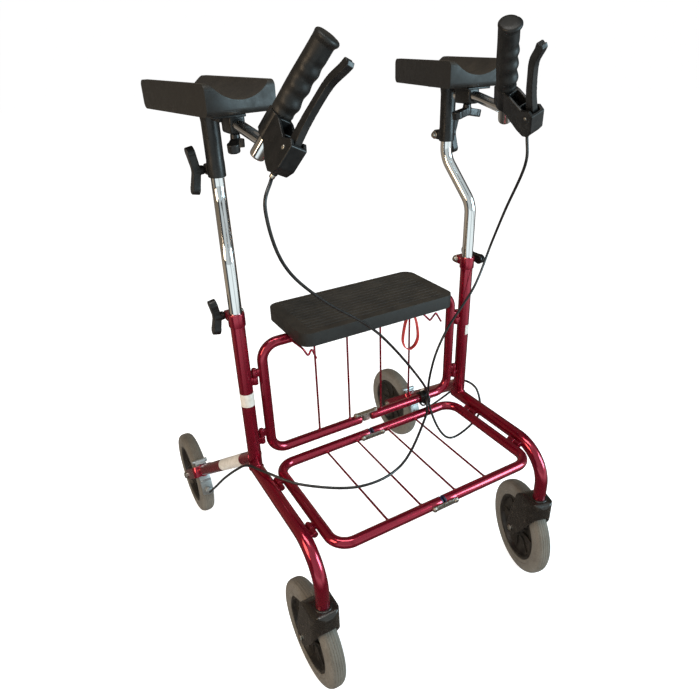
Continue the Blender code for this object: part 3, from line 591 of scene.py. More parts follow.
def smooth_path(points, per_span=8):
    """A Catmull-Rom line through guide points."""
    guides = [Vector(p) for p in points]
    guides = [2 * guides[0] - guides[1], *guides, 2 * guides[-1] - guides[-2]]
    path = []
    for a, b, c, d in zip(guides, guides[1:], guides[2:], guides[3:]):
        for k in range(per_span):
            t = k / per_span
            square = (2 * a - 5 * b + 4 * c - d) * t ** 2
            cube = (3 * b - a - 3 * c + d) * t ** 3
            path.append(0.5 * (2 * b + (c - a) * t + square + cube))
    return [*path, guides[-2]]


def weld_bead(start, axis, radius, other, other_axis, other_radius):
    """A bead where a tube that runs from start along axis comes out of another round tube."""
    axis, other_axis = Vector(axis).normalized(), Vector(other_axis).normalized()
    across = axis.orthogonal().normalized()
    up = axis.cross(across)
    path = []
    for k in range(64):
        angle = math.tau * k / 64
        foot = Vector(start) + (radius + BEAD_R * 0.3) * (across * math.cos(angle) + up * math.sin(angle))
        gap = foot - Vector(other)
        slope = axis - other_axis * axis.dot(other_axis)
        offset = gap - other_axis * gap.dot(other_axis)
        a, b, c = slope.dot(slope), 2 * slope.dot(offset), offset.dot(offset) - other_radius ** 2
        root = math.sqrt(max(b * b - 4 * a * c, 0.0))
        lumps = 1 + 0.18 * math.sin(22 * angle)
        path.append(foot + axis * ((-b + root) / (2 * a) + BEAD_R * 0.25 * lumps))
    return tube(path, BEAD_R, 12, closed=True)


def piece(name, mesh, look, body, *nodes, sharp=32):
    """Turns a shape into a named piece that rides on a body and stands for CAD nodes."""
    mesh.transform(TO_FRAME)
    mesh.name = name
    mesh.materials.clear()
    mesh.materials.append(MATERIALS[look])
    mesh.shade_smooth()
    mesh.set_sharp_from_angle(angle=math.radians(sharp))
    obj = bpy.data.objects.new(name, mesh)
    bpy.context.scene.collection.objects.link(obj)
    if body:
        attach(obj, body)
    if nodes:
        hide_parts(*nodes)
    return obj


# ---------------------------------------------------------------- wheels
def tread_profile(half, radius):
    """The tyre's outer side from top to bottom: a rounded crown with fine grooves."""
    points = []
    count = 110
    for k in range(count + 1):
        z = half * math.cos(math.pi * k / count)
        crown = radius - 0.0145 + 0.0145 * (1 - abs(z / half) ** 2.7) ** (1 / 2.3)
        groove = max(0.0, math.cos(math.tau * z / 0.0046)) ** 6 if abs(z) < 0.0118 else 0.0
        points.append((crown - 0.0009 * groove, z))
    return points


def wheel(name, nodes_end, centre, matrix, body):
    """A grooved tyre and a dished, ribbed rim, turning about X."""
    spin = matrix @ Matrix.Translation(centre) @ Matrix.Rotation(math.pi / 2, 4, "Y")
    side = [
        (RIM_R + 0.0125, -TYRE_HALF + 0.0002), (RIM_R + 0.0115, -TYRE_HALF - 0.0001),
        (RIM_R + 0.0085, -TYRE_HALF - 0.0001), (RIM_R + 0.0075, -TYRE_HALF + 0.0008),
        (RIM_R + 0.0012, -TYRE_HALF + 0.0012), (RIM_R + GAP, -TYRE_HALF + 0.0024),
    ]
    tyre = tread_profile(TYRE_HALF, WHEEL_R) + side + [(r, -z) for r, z in side[::-1]]
    piece(f"{name}_tyre_{nodes_end}", turned(tyre, 128, spin, True), "grey_tyre", body,
          f"{name}_tyre_{nodes_end}")
    flange = [
        (RIM_R, 0.0133), (RIM_R, -0.0133), (RIM_R - 0.0030, -0.0140), (RIM_R - 0.0052, -0.0128),
        (0.0620, -0.0062), (0.0560, -0.0036), (0.0300, -0.0026), (0.0230, -0.0040), (0.0185, -0.0120),
        (0.0170, -HUB_HALF + 0.0006), (0.0162, -HUB_HALF), (0.0085, -HUB_HALF),
        (0.0085, -HUB_HALF + 0.0040), (0.0054, -HUB_HALF + 0.0040),
    ]
    rim = turned(flange + [(r, -z) for r, z in flange[::-1]], 96, spin, True)
    ribs = []
    for k in range(8):
        angle = math.tau * k / 8
        for sign in (-1, 1):
            outline = [
                (0.0165, 0.0010), (0.0165, 0.0120), (0.0280, 0.0062), (0.0580, 0.0058), (0.0650, 0.0100),
                (0.0665, 0.0010),
            ]
            turn = Matrix.Rotation(angle, 4, "Z") @ STAND_UP
            rib = slab([[(r, h * sign) for r, h in outline]], 0.0026, turn, 0.0007)
            rib.transform(spin)
            ribs.append(rib)
    piece(f"{name}_rim_{nodes_end}", together(rim, *ribs), "rim_plastic", body, f"{name}_rim_{nodes_end}")


def hex_bolt(seat_at, outward, radius, tall):
    """A flanged hexagon head with a domed crown."""
    place = along(seat_at, outward)
    washer = puck(seat_at, place @ Vector((0, 0, 0.0010)), radius * 1.22, 0.0003)
    hexagon = [(0.0, tall), (radius * 0.70, tall), (radius, tall * 0.72), (radius, 0.0008), (0.0, 0.0008)]
    head = turned(hexagon, 6, place)
    round_top = quarter(radius * 0.5, tall * 0.6, tall * 0.38, 80, 0)
    dome = turned([(0.0, tall * 1.02), *round_top, (0.0, tall * 0.4)], 32, place)
    return together(washer, head, dome)


def rear_axle(side, s):
    """The rear wheel's bolt with a washer and head on each side."""
    centre = Vector((s * REAR_X, REAR_Y, WHEEL_R))
    shank = puck(centre - X * 0.0250, centre + X * 0.0250, 0.0050)
    heads = [
        hex_bolt(centre + X * sign * (STRAP_HALF + 0.0002), X * sign, 0.0076, 0.0066) for sign in (-1, 1)
    ]
    spacers = [
        ring(centre + X * sign * 0.0174, centre + X * sign * 0.0193, 0.0080, 0.0052) for sign in (-1, 1)
    ]
    piece(f"rear_axle_{side}", together(shank, *heads, *spacers), "zinc_steel", f"{side}_frame",
          f"rear_axle_{side}")


# ---------------------------------------------------------------- hinges
def lug(start, end, axis):
    """A rounded bar from just past a knuckle's axis to its tube."""
    half = KNUCKLE_LENGTH / 2 - GAP
    across = axis.cross(end - start).normalized() * 0.0034
    return box(start - across - axis * half, end + across + axis * half, 0.0008)


def hinge(pin, axis, frame_at, panel_at):
    """Returns a hinge's frame-side shape and its panel-side shape."""
    pin, axis = Vector(pin), Vector(axis)
    frame_at, panel_at = Vector(frame_at), Vector(panel_at)
    foot, top = pin - axis * KNUCKLE_LENGTH, pin + axis * KNUCKLE_LENGTH
    half = axis * KNUCKLE_LENGTH / 2
    on_frame = together(
        join(puck(foot, pin - axis * GAP / 2, KNUCKLE_R), lug(pin - half, frame_at - half, axis)),
        puck(pin - axis * 0.003, top + axis * 0.002, 0.0024),
        puck(top + axis * GAP, top + axis * 0.0030, 0.0045, 0.0011),
    )
    on_panel = join(puck(pin + axis * GAP / 2, top, KNUCKLE_R), lug(pin + half, panel_at + half, axis))
    return on_frame, on_panel


def back_hinge(s, z):
    return hinge((s * HINGE_X, 0, z), Z, (s * POST_X, 0, z), (s * PANEL_SIDE_X, 0, z))


def shelf_hinge(s, y):
    pin, frame_at = (s * HINGE_X, y, SHELF_Z), (s * POST_X, y, SHELF_Z)
    return hinge(pin, Y, frame_at, (s * PANEL_SIDE_X, y, SHELF_Z))


# ---------------------------------------------------------------- side frames
def clamp_ears(x, y, z, up, down):
    """The two rounded ears behind a clamp, without their slot."""
    return box((x - EAR_HALF, y + 0.006, z - down), (x + EAR_HALF, y + CLAMP_BACK + 0.006, z + up), 0.0035)


def post(side, s):
    """The upright, with a slotted clamp collar and a bore for the chrome tube."""
    x = s * POST_X
    shaft = tube([(x, 0, RAIL_Z + 0.001), (x, 0, POST_TOP - 0.003)], FRAME_R)
    collar = puck((x, 0, POST_TOP - COLLAR_HEIGHT), (x, 0, POST_TOP), COLLAR_R, 0.0014, 48)
    ears = clamp_ears(x, 0, CLAMP_Z, 0.007, 0.009)
    shape = cut(
        join(shaft, collar, ears),
        rod((x, 0, POST_BORE_BOTTOM), (x, 0, POST_TOP + 0.01), CHROME_R + 0.0004, 48),
        rod((x, -0.03, RAIL_Z), (x, 0.03, RAIL_Z), FRAME_R + 0.0001, 48),
        box((x - 0.0011, 0.004, CLAMP_Z - 0.022), (x + 0.0011, 0.040, POST_TOP + 0.010)),
    )
    hinges = [back_hinge(s, z)[0] for z in BACK_HINGE_Z]
    bead = weld_bead((x, 0, RAIL_Z), Z, FRAME_R, (x, 0, RAIL_Z), Y, FRAME_R)
    piece(f"post_tube_{side}", together(shape, *hinges, bead), "red_frame", f"{side}_frame",
          f"post_tube_{side}")


def rail(side, s):
    """The lower rail, bent down at the front into the caster's stem."""
    x = s * POST_X
    corners = [(x, 0.013, RAIL_Z), (x, STEM_Y, RAIL_Z), (x, STEM_Y, FORK_TOP + GAP)]
    path = fillet(corners, RAIL_BEND, steps=24)
    hinges = [shelf_hinge(s, y)[0] for y in SHELF_HINGE_Y]
    pin = puck((x, STEM_Y, FORK_TOP - 0.016), (x, STEM_Y, FORK_TOP + 0.004), 0.0049)
    piece(f"side_rail_{side}", together(tube(path, FRAME_R), pin, *hinges), "red_frame",
          f"{side}_frame", f"side_rail_{side}")


def bracket_frame(s):
    """The rear bracket's own axes: X towards the axle, Y to the side, origin at the axle."""
    axle_at = Vector((s * REAR_X, REAR_Y, WHEEL_R))
    slope = Vector((0, REAR_Y, WHEEL_R - BRACKET_FOOT_Z)).normalized()
    turn = Matrix((slope, X, slope.cross(X))).transposed().to_4x4()
    return Matrix.Translation(axle_at) @ turn, slope


def rear_bracket(side, s):
    """The sloping tube behind the post and the strap fork that holds the rear wheel."""
    place, slope = bracket_frame(s)
    inner, end, back = STRAP_HALF - STRAP_THICK, 0.0135, -CROWN_REACH
    outside = [(end, STRAP_HALF), (back, STRAP_HALF), (back, -STRAP_HALF), (end, -STRAP_HALF)]
    inside = [(end, -inner), (back + STRAP_THICK, -inner), (back + STRAP_THICK, inner), (end, inner)]
    outline = fillet(outside, STRAP_BEND) + fillet(inside, STRAP_BEND - STRAP_THICK)
    flat = slab([outline], STRAP_WIDTH)
    half = STRAP_WIDTH / 2
    corner = (end - 0.004, half - 0.00405)
    plan = [(back - 0.01, -half), *arc((corner[0], -corner[1]), 0.004, -90, 0), *arc(corner, 0.004, 0, 90),
            (back - 0.01, half)]
    strap = bevelled(common(flat, slab([plan], 0.1, STAND_UP)), 0.0005, 2)
    strap.transform(place)
    x = s * POST_X
    start = Vector((x, 0, BRACKET_FOOT_Z)) + slope * 0.004
    crown = place @ Vector((back + STRAP_THICK / 2, 0, 0))
    arm = cut(
        tube([start, crown], FRAME_R),
        rod((x, 0, RAIL_Z - 0.03), (x, 0, RAIL_Z + 0.06), FRAME_R + 0.0001, 48),
        rod((x, -0.05, RAIL_Z), (x, 0.0132, RAIL_Z), FRAME_R + 0.0001, 48),
    )
    direction = (crown - start).normalized()
    at_post = weld_bead(start, direction, FRAME_R, (x, 0, RAIL_Z), Z, FRAME_R)
    across = direction.orthogonal().normalized()
    foot = crown - direction * 0.0016
    ring_path = [
        foot + (FRAME_R + 0.0004) * (across * math.cos(a) + direction.cross(across) * math.sin(a))
        for a in (math.tau * k / 48 for k in range(48))
    ]
    at_strap = tube(ring_path, 0.0016, 12, closed=True)
    piece(f"rear_bracket_{side}", together(strap, arm, at_post, at_strap), "red_frame", f"{side}_frame",
          f"rear_bracket_{side}")
    near, far = {"left": (0.17, 0.54), "right": (0.62, 0.70)}[side]
    label_from, label_to = start.lerp(crown, near), start.lerp(crown, far)
    piece(f"bracket_label_{side}", ring(label_from, label_to, FRAME_R + 0.00025, FRAME_R - 0.0002, 0.0001),
          "label_film", f"{side}_frame")


def around_wheel(s, radius, degrees, x=0.0):
    """A point beside the rear wheel, by its radius and angle from the back."""
    angle = math.radians(degrees)
    return Vector((
        s * REAR_X + x, REAR_Y + radius * math.cos(angle), WHEEL_R + radius * math.sin(angle)
    ))


def brake_shoe(side, s):
    """A pressed channel before the rear tyre, with its cross pin and the cable's anchor."""
    place = Matrix.Translation((s * REAR_X, REAR_Y, WHEEL_R)) @ SIDE_ON
    outer = arc((0, 0), SHOE_INNER_R, SHOE_FROM, SHOE_TO, 28)
    outer += arc((0, 0), SHOE_OUTER_R, SHOE_TO, SHOE_FROM, 28)
    hollow = arc((0, 0), SHOE_INNER_R - 0.004, SHOE_FROM - 3, SHOE_TO - 2, 28)
    hollow += arc((0, 0), SHOE_OUTER_R - 0.0022, SHOE_TO - 2, SHOE_FROM - 3, 28)
    channel = bevelled(cut(slab([outer], SHOE_WIDTH), slab([hollow], SHOE_WIDTH - 0.004)), 0.0006, 2)
    channel.transform(place)
    centre = (SHOE_INNER_R + SHOE_OUTER_R) / 2
    eye = [around_wheel(s, centre, SHOE_FROM, x) for x in (-0.0175, 0.0175)]
    post_feet = [around_wheel(s, r, ANCHOR_ANGLE) for r in (SHOE_OUTER_R - 0.001, ANCHOR_TOP_R)]
    outward = (post_feet[1] - post_feet[0]).normalized()
    tangent = outward.cross(X)
    nut_at = around_wheel(s, ANCHOR_TOP_R - 0.005, ANCHOR_ANGLE)
    nut = hex_bolt(nut_at + tangent * 0.0070, tangent, 0.0042, 0.0034)
    ferrule = ring(post_feet[1] - outward * 0.0005, post_feet[1] + outward * 0.0050, 0.0037, 0.0018)
    rolled = puck(*eye, 0.0045, 0.0008)
    anchor = puck(*post_feet, 0.0080, 0.0012)
    bars = []
    for angle in (SHOE_FROM + 4, 156):
        ends = [around_wheel(s, SHOE_OUTER_R, angle, x * SHOE_WIDTH / 2) for x in (-1, 1)]
        bars.append(puck(*ends, 0.0022, 0.0006))
    piece(f"brake_shoe_{side}", together(channel, rolled, anchor, nut, ferrule, *bars), "galvanised_steel",
          f"shoe_{side}", f"brake_shoe_{side}")


def band(rows):
    """A closed strip with four corners to each row, given from one end to the other."""
    bm = bmesh.new()
    rows = [[bm.verts.new(corner) for corner in row] for row in rows]
    for first, second in zip(rows, rows[1:]):
        for k in range(4):
            bm.faces.new((first[k], first[(k + 1) % 4], second[(k + 1) % 4], second[k]))
    bm.faces.new(rows[0][::-1])
    bm.faces.new(rows[-1])
    bmesh.ops.recalc_face_normals(bm, faces=bm.faces)
    return from_bmesh(bm)


def label_patch(start, end, radius, facing, spread):
    """A thin blank label laid on part of a tube's side, centred on a direction."""
    start, end, facing = Vector(start), Vector(end), Vector(facing)
    axis = (end - start).normalized()
    facing = (facing - axis * facing.dot(axis)).normalized()
    across = axis.cross(facing)
    rows, count = [], 24
    for k in range(count + 1):
        angle = math.radians(spread) * (k / count - 0.5)
        out = facing * math.cos(angle) + across * math.sin(angle)
        inner, outer = out * (radius - 0.0003), out * (radius + 0.00022)
        rows.append((start + inner, start + outer, end + outer, end + inner))
    return band(rows)


def post_labels():
    """A blank label on each post, the left one to the front and the right one outwards."""
    for side, s, foot, top in (("left", -1, 0.474, 0.500), ("right", 1, 0.484, 0.506)):
        x = s * POST_X
        facing, spread = {"left": ((-0.25, -1, 0), 170), "right": ((0.9, -1, 0), 110)}[side]
        patch = label_patch((x, 0, foot), (x, 0, top), FRAME_R, facing, spread)
        piece(f"post_label_{side}", patch, "label_film", f"{side}_frame")


# ---------------------------------------------------------------- casters
def fork_body():
    """A caster's fork before it is hollowed: side, front and plan views cut to one body."""
    top, round_off = 0.2198, 0.0120
    side_view = [
        *arc((TRAIL, WHEEL_R), 0.0155, 232, 378, 16), (0.0560, 0.148),
        *arc((0.0100, 0.1858), 0.0340, -5, 90, 14), *arc((-0.0144, top - round_off), round_off, 90, 180, 8),
        (-0.0264, 0.186), (-0.0200, 0.178), (0.0060, 0.130),
    ]
    shoulder = FORK_HALF - round_off
    front_view = [
        (-FORK_HALF, 0.05), (FORK_HALF, 0.05), *arc((shoulder, top - round_off), round_off, 0, 90, 8),
        *arc((-shoulder, top - round_off), round_off, 90, 180, 8),
    ]
    plan = [*arc((0, 0), FORK_HALF, 180, 360, 32), (FORK_HALF, 0.09), (-FORK_HALF, 0.09)]
    return common(slab([side_view], 0.06, SIDE_ON), slab([front_view], 0.2, STAND_UP), slab([plan], 0.6))


def caster(side, s):
    """A moulded fork that swivels on the stem, with its axle and wheel."""
    at = Matrix.Translation((s * POST_X, STEM_Y, 0)) @ Matrix.Rotation(SWIVEL[side], 4, "Z")
    half_room = 0.0198
    room_plan = [*arc((0, 0), 0.0232, 211.4, 328.6, 20), (half_room, 0.09), (-half_room, 0.09)]
    room = slab([room_plan], 0.1528, Matrix.Translation((0, 0, 0.1264)))
    fork = moulded(cut(fork_body(), room), 0.0008, 10)
    cap = turned(
        [(0.0052, FORK_TOP), (0.0152, FORK_TOP), *quarter(0.0152, FORK_TOP - 0.0010, 0.0010, 90, -60),
         (0.0142, FORK_TOP - 0.0030), (0.0052, FORK_TOP - 0.0030)], 64, closed=True)
    hole = rod((-0.05, TRAIL, WHEEL_R), (0.05, TRAIL, WHEEL_R), 0.0053)
    shape = together(cut(fork, hole), cap)
    shape.transform(at)
    piece(f"caster_fork_{side}", shape, "fork_plastic", f"caster_{side}", f"caster_fork_{side}", sharp=60)
    centre = Vector((0, TRAIL, WHEEL_R))
    heads = [hex_bolt(centre + X * sign * 0.0274, X * sign, 0.0056, 0.0036) for sign in (-1, 1)]
    axle = together(puck(centre - X * 0.0270, centre + X * 0.0270, 0.0049), *heads)
    axle.transform(at)
    piece(f"caster_axle_{side}", axle, "zinc_steel", f"caster_{side}", f"caster_axle_{side}")
    wheel("front", side, centre, at, f"front_wheel_{side}")


# ---------------------------------------------------------------- folding panels
def closed_end(pin, s, reach):
    """The rounded end of a half panel's tube, past its link pin."""
    edge, back = 0.0032, 0.004
    rim = quarter(PANEL_R - edge, reach - edge, edge, 90, 0, 8)
    return turned([(0.0, reach), *rim, (PANEL_R, -back), (0.0, -back)], 48, along(pin, (-s, 0, 0)))


def wire(start, end):
    """A straight wire with a small weld at each end, on the tubes' facing sides."""
    start, end = Vector(start), Vector(end)
    direction = (end - start).normalized()
    lumps = [
        puck(p + step * (PANEL_R - 0.0012), p + step * (PANEL_R + 0.0032), 0.0031, 0.0016, 20)
        for p, step in ((start, direction), (end, -direction))
    ]
    return together(tube([start, end], WIRE_R, 16), *lumps)


def panel_loop(s, at_low, at_high, reach, plug_from=None):
    """A half panel's bent tube with its two closed ends; a plugged tube stops at the plug."""
    inner = LINK_HALF + 0.0040
    path = fillet([at_low(inner), at_low(PANEL_SIDE_X), at_high(PANEL_SIDE_X), at_high(inner)],
                  PANEL_CORNER, steps=16)
    ends = []
    for pin in (at_low(LINK_HALF), at_high(LINK_HALF)):
        if plug_from is None:
            ends.append(closed_end(pin, s, reach))
        else:
            ends.append(puck(pin + X * s * 0.0041, pin - X * s * plug_from, PANEL_R, 0.0004))
    wires = [wire(at_low(x), at_high(x)) for x in WIRE_X]
    return together(tube(path, PANEL_R), *ends, *wires)


def back_panel(side, s):
    """The upright half panel behind the shelf, with a wire hook under the seat's front."""
    def at(z):
        return lambda x: Vector((s * x, 0, z))

    x = {"left": -0.157, "right": 0.096}[side]
    pitch = {"left": 0.0075, "right": 0.0133}[side]
    drops = (0.5880, 0.5735, 0.5865, 0.5650)
    zigzag = [(x + pitch * k, -0.064, z) for k, z in enumerate(drops)]
    corners = [(x, -0.004, BACK_TOP_Z), (x, -0.055, 0.5885), *zigzag]
    hook = tube(fillet(corners, 0.0022, steps=6), 0.0019, 16)
    knuckles = [back_hinge(s, z)[1] for z in BACK_HINGE_Z]
    shape = together(panel_loop(s, at(BACK_LOW_Z), at(BACK_TOP_Z), BACK_END), hook, *knuckles)
    piece(f"back_frame_{side}", shape, "red_frame", f"back_{side}", f"back_frame_{side}")


def shelf_panel(side, s):
    """One half of the level shelf; navy plugs close its tubes where the halves butt."""
    def at(y):
        return lambda x: Vector((s * x, y, SHELF_Z))

    ends = at(SHELF_REAR_Y), at(SHELF_FRONT_Y)
    knuckles = [shelf_hinge(s, y)[1] for y in SHELF_HINGE_Y]
    shape = together(panel_loop(s, *ends, PLUG_FROM, PLUG_FROM), *knuckles)
    piece(f"shelf_frame_{side}", shape, "red_frame", f"shelf_{side}", f"shelf_frame_{side}")
    plugs = []
    for end in ends:
        pin = end(LINK_HALF)
        rims = quarter(0.0075, PLUG_END - 0.0020, 0.0020, 90, 0, 6)
        profile = [(0.0, PLUG_END), *rims, (0.0095, PLUG_FROM + 0.0002), (0.0, PLUG_FROM + 0.0002)]
        plugs.append(turned(profile, 48, along(pin, (-s, 0, 0))))
    piece(f"shelf_plugs_{side}", together(*plugs), "navy_plastic", f"shelf_{side}")


def link_plate(name, body, centre, outward, tongue=False):
    """A steel strip across the two halves' ends, with a riveted pin at each end."""
    centre, outward = Vector(centre), Vector(outward)
    face = PANEL_R + GAP
    turn = Matrix((X, outward.cross(X), outward)).transposed().to_4x4()
    seat_at = Matrix.Translation(centre + outward * (face + LINK_THICK / 2)) @ turn
    parts = [slab([stadium(2 * LINK_HALF + LINK_WIDTH, LINK_WIDTH)], LINK_THICK, seat_at, 0.0005)]
    if tongue:
        foot, top = Vector((-0.0075, -0.0045, -0.0060)), Vector((0.0075, 0.0045, face + 0.001))
        parts.append(box(centre + foot, centre + top, 0.0012))
    for x in (-LINK_HALF, LINK_HALF):
        foot = centre + X * x
        top = face + LINK_THICK
        parts.append(puck(foot + outward * 0.0015, foot + outward * top, 0.0025))
        parts.append(puck(foot + outward * (top - 0.0002), foot + outward * (top + 0.0022), 0.0042, 0.0017))
        under, over = foot + outward * (face - 0.0010), foot + outward * (face + 0.0002)
        parts.append(puck(under, over, 0.0046, 0.0003))
    piece(name, together(*parts), "zinc_steel", body, name)


# ---------------------------------------------------------------- seat, strap and tie
def seat():
    """The moulded board: ridged on top, hollow and ribbed below, clipped on the top tube."""
    ends = (SEAT_FRONT_Y, SEAT_REAR_Y)
    corners = [(x, y) for x in (-SEAT_HALF, SEAT_HALF) for y in (ends if x < 0 else ends[::-1])]
    outline = fillet(corners, 0.022, closed=True, steps=12)
    rest = Matrix.Translation((0, 0, (SEAT_BOTTOM + SEAT_TOP) / 2))
    board = bevelled(slab([outline], SEAT_TOP - SEAT_BOTTOM, rest), 0.0085, 8, 60)
    grooves = []
    count = 12
    pitch = 0.0112
    mid_y = (SEAT_FRONT_Y + SEAT_REAR_Y) / 2
    for k in range(count):
        y = mid_y + (k - (count - 1) / 2) * pitch
        z = SEAT_TOP + 0.0022
        grooves.append(puck((-0.140, y, z), (0.140, y, z), 0.0032, 0.0028, 24))
    wall = 0.0045
    pockets = []
    for x0, x1 in ((-0.150, -0.098), (-0.094, -0.050), (-0.046, 0.046), (0.050, 0.094), (0.098, 0.150)):
        for y0, y1 in ((SEAT_FRONT_Y + wall + 0.004, -0.014), (0.014, SEAT_REAR_Y - wall - 0.004)):
            pockets.append(box((x0, y0, SEAT_BOTTOM - 0.01), (x1, y1, SEAT_BOTTOM + 0.0165), 0.0020))
    board = cut(board, *grooves, *pockets)
    piece("seat_board", board, "pad_plastic", "seat", "seat_board")
    clips, clip_half = [], 0.009
    for x in (-0.128, -0.060):
        outer = arc((0, 0), 0.0136, -40, 220, 28) + arc((0, 0), 0.0099, 220, -40, 28)
        on_tube = Matrix.Translation((x, 0, BACK_TOP_Z)) @ SIDE_ON
        clips.append(slab([outer], 2 * clip_half, on_tube, 0.0005))
        corner = Vector((clip_half, 0.0128, 0.0021))
        foot = Vector((x, 0, SEAT_BOTTOM + 0.0019))
        clips.append(box(foot - corner, foot + corner))
    piece("seat_clips", together(*clips), "black_plastic", "seat")


def pull_strap():
    """A teardrop loop of webbing that hangs from the right half's top tube."""
    x, y = 0.0995, -0.0145
    guides = [
        (0.0016, 0.0560), (0.0030, 0.0480), (0.0085, 0.0330), (0.0150, 0.0140), (0.0180, -0.0040),
        (0.0172, -0.0200), (0.0110, -0.0340), (0.0, -0.0392),
    ]
    right = smooth_path([(u, 0, v) for u, v in guides], 5)
    loop = right + [Vector((-p.x, 0, p.z)) for p in right[-2::-1]]
    middle_z = 0.532
    half, thick = 0.0045, 0.0013
    rows = []
    for k, p in enumerate(loop):
        before, after = loop[max(k - 1, 0)], loop[min(k + 1, len(loop) - 1)]
        tangent = (after - before).normalized()
        out = Vector((tangent.z, 0, -tangent.x)) * thick / 2
        slack = 0.0007 * math.sin(k * 0.45)
        centre = Vector((x, y + slack, middle_z)) + p
        rows.append([centre + out * i + Y * half * j for i, j in ((1, -1), (1, 1), (-1, 1), (-1, -1))])
    webbing = bevelled(band(rows), 0.0003, 2, 50)
    knot = box((x - 0.0040, y - 0.0050, 0.5760), (x + 0.0040, y + 0.0048, 0.5800), 0.0012)
    piece("pull_strap", together(webbing, knot), "red_webbing", "back_right", "pull_strap", sharp=40)


def cable_tie():
    """A moulded clip round the right half's lower tube, with a strap round each cable."""
    x, z = 0.144, BACK_LOW_Z
    body = together(
        ring((x - 0.0085, 0, z), (x + 0.0085, 0, z), 0.0128, PANEL_R + 0.0002, 0.0010),
        box((x - 0.0075, -0.0168, z - 0.0075), (x + 0.0075, -0.0100, z + 0.0085), 0.0022),
    )
    straps = [
        ring((x + dx - 0.0014, -0.006, z), (x + dx + 0.0014, -0.006, z), 0.0165, 0.0135, 0.0004)
        for dx in (-0.0052, 0.0052)
    ]
    head = box((x - 0.0035, -0.0235, z + 0.0020), (x + 0.0035, -0.0190, z + 0.0090), 0.0009)
    piece("cable_tie", together(body, *straps, head), "black_plastic", "back_right", "cable_tie")


# ---------------------------------------------------------------- forearm supports
def chrome_post(side, s, lift):
    """The tube that slides in the post, with an S-bend towards the back."""
    path = fillet(
        [
            (s * POST_X, 0, CHROME_BOTTOM + lift),
            (s * POST_X, 0, BEND_LOW_Z + 0.012 + lift),
            (s * UPPER_X, BEND_BACK, BEND_HIGH_Z - 0.012 + lift),
            (s * UPPER_X, BEND_BACK, CHROME_TOP + lift),
        ],
        0.055, steps=24,
    )
    piece(f"chrome_post_{side}", tube(path, CHROME_R, 48), "chrome_tube", f"upper_post_{side}",
          f"chrome_post_{side}")


def arm_sleeve(side, s, lift):
    """The black sleeve, the plate under the trough and the clamp for the hand bar."""
    x, y = s * UPPER_X, BEND_BACK
    top, bolt, bar_x, bar_z = PLATE_TOP + lift, SLEEVE_CLAMP_Z + lift, s * BAR_X, BAR_Z + lift
    foot = SLEEVE_BOTTOM + lift
    front, back = BAR_CLAMP_Y
    sleeve = turned(
        [(0.0, top - 0.001), (0.0160, top - 0.001), (0.0148, top - 0.010), (0.0141, top - 0.016),
         (0.0141, bolt + 0.016), (SLEEVE_R, bolt + 0.0125), (SLEEVE_R, foot + 0.0012),
         (SLEEVE_R - 0.0012, foot), (0.0, foot)], 64, Matrix.Translation((x, y, 0)))
    ears = clamp_ears(x, y, bolt, 0.009, 0.008)
    plate = box((s * (BAR_X - 0.014), front, top - PLATE_THICK), (s * (BAR_X + 0.035), 0.088, top), 0.0012)
    block = box((bar_x - 0.012, front, bar_z - 0.012), (bar_x + 0.012, back, top - 0.001), 0.0040)
    rib = box((x - 0.0022, back - 0.004, top - 0.013), (x + 0.0022, y, top - 0.002), 0.0008)
    shape = cut(
        join(sleeve, ears, plate, block, rib),
        rod((x, y, foot - 0.01), (x, y, CHROME_TOP + 0.002 + lift), CHROME_R + 0.0004, 48),
        rod((bar_x, 0.03, bar_z), (bar_x, -0.04, bar_z), BAR_R + GAP, 48),
        box((x - 0.0010, y + 0.004, foot - 0.01), (x + 0.0010, y + 0.040, bolt + 0.013)),
        box((bar_x - 0.0008, front - 0.01, bar_z - 0.02), (bar_x + 0.0008, back + 0.01, bar_z - 0.002)),
    )
    piece(f"arm_sleeve_{side}", shape, "black_plastic", f"arm_{side}", f"arm_sleeve_{side}")


def trough(side, s, lift):
    """The forearm trough: a rounded block with an open channel along its top."""
    wide, long, tall = TROUGH_SIZE
    foot = PLATE_TOP + 2 * GAP + lift
    at = Matrix.Translation((s * TROUGH_AT[0], TROUGH_AT[1], foot))
    place = at @ Matrix.Rotation(-s * TROUGH_YAW, 4, "Z")
    corners = [(-long / 2, 0), (long / 2, 0), (long / 2, tall), (-long / 2, tall)]
    side_view = fillet(corners, 0.0090, closed=True, steps=10)
    centre = tall - CHANNEL_DEPTH + CHANNEL_R
    groove = puck((0, -long, centre), (0, long, centre), CHANNEL_R, 0.00001, 160)
    block = cut(slab([side_view], wide, SIDE_ON), groove)
    block = bevelled(block, 0.0030, 6, 28)
    block.transform(place)
    piece(f"arm_trough_{side}", block, "pad_plastic", f"arm_{side}", f"arm_trough_{side}")
    screws = [
        hex_bolt(place @ Vector((-s * 0.004, y, -0.0044)), -Z, 0.0040, 0.0028) for y in (-0.072, 0.012)
    ]
    piece(f"trough_screws_{side}", together(*screws), "zinc_steel", f"arm_{side}")


def hand_matrix(s, lift):
    """Axes of the hand end: X towards the lever, Y up the grip, origin at the stub's foot."""
    flip = Vector((s, 1, 1))
    up = GRIP_AXIS * flip
    ahead = LEVER_SIDE * flip
    ahead = (ahead - up * ahead.dot(up)).normalized()
    turn = Matrix((ahead, up, ahead.cross(up))).transposed().to_4x4()
    return Matrix.Translation(STUB_FOOT * flip + Vector((0, 0, lift))) @ turn


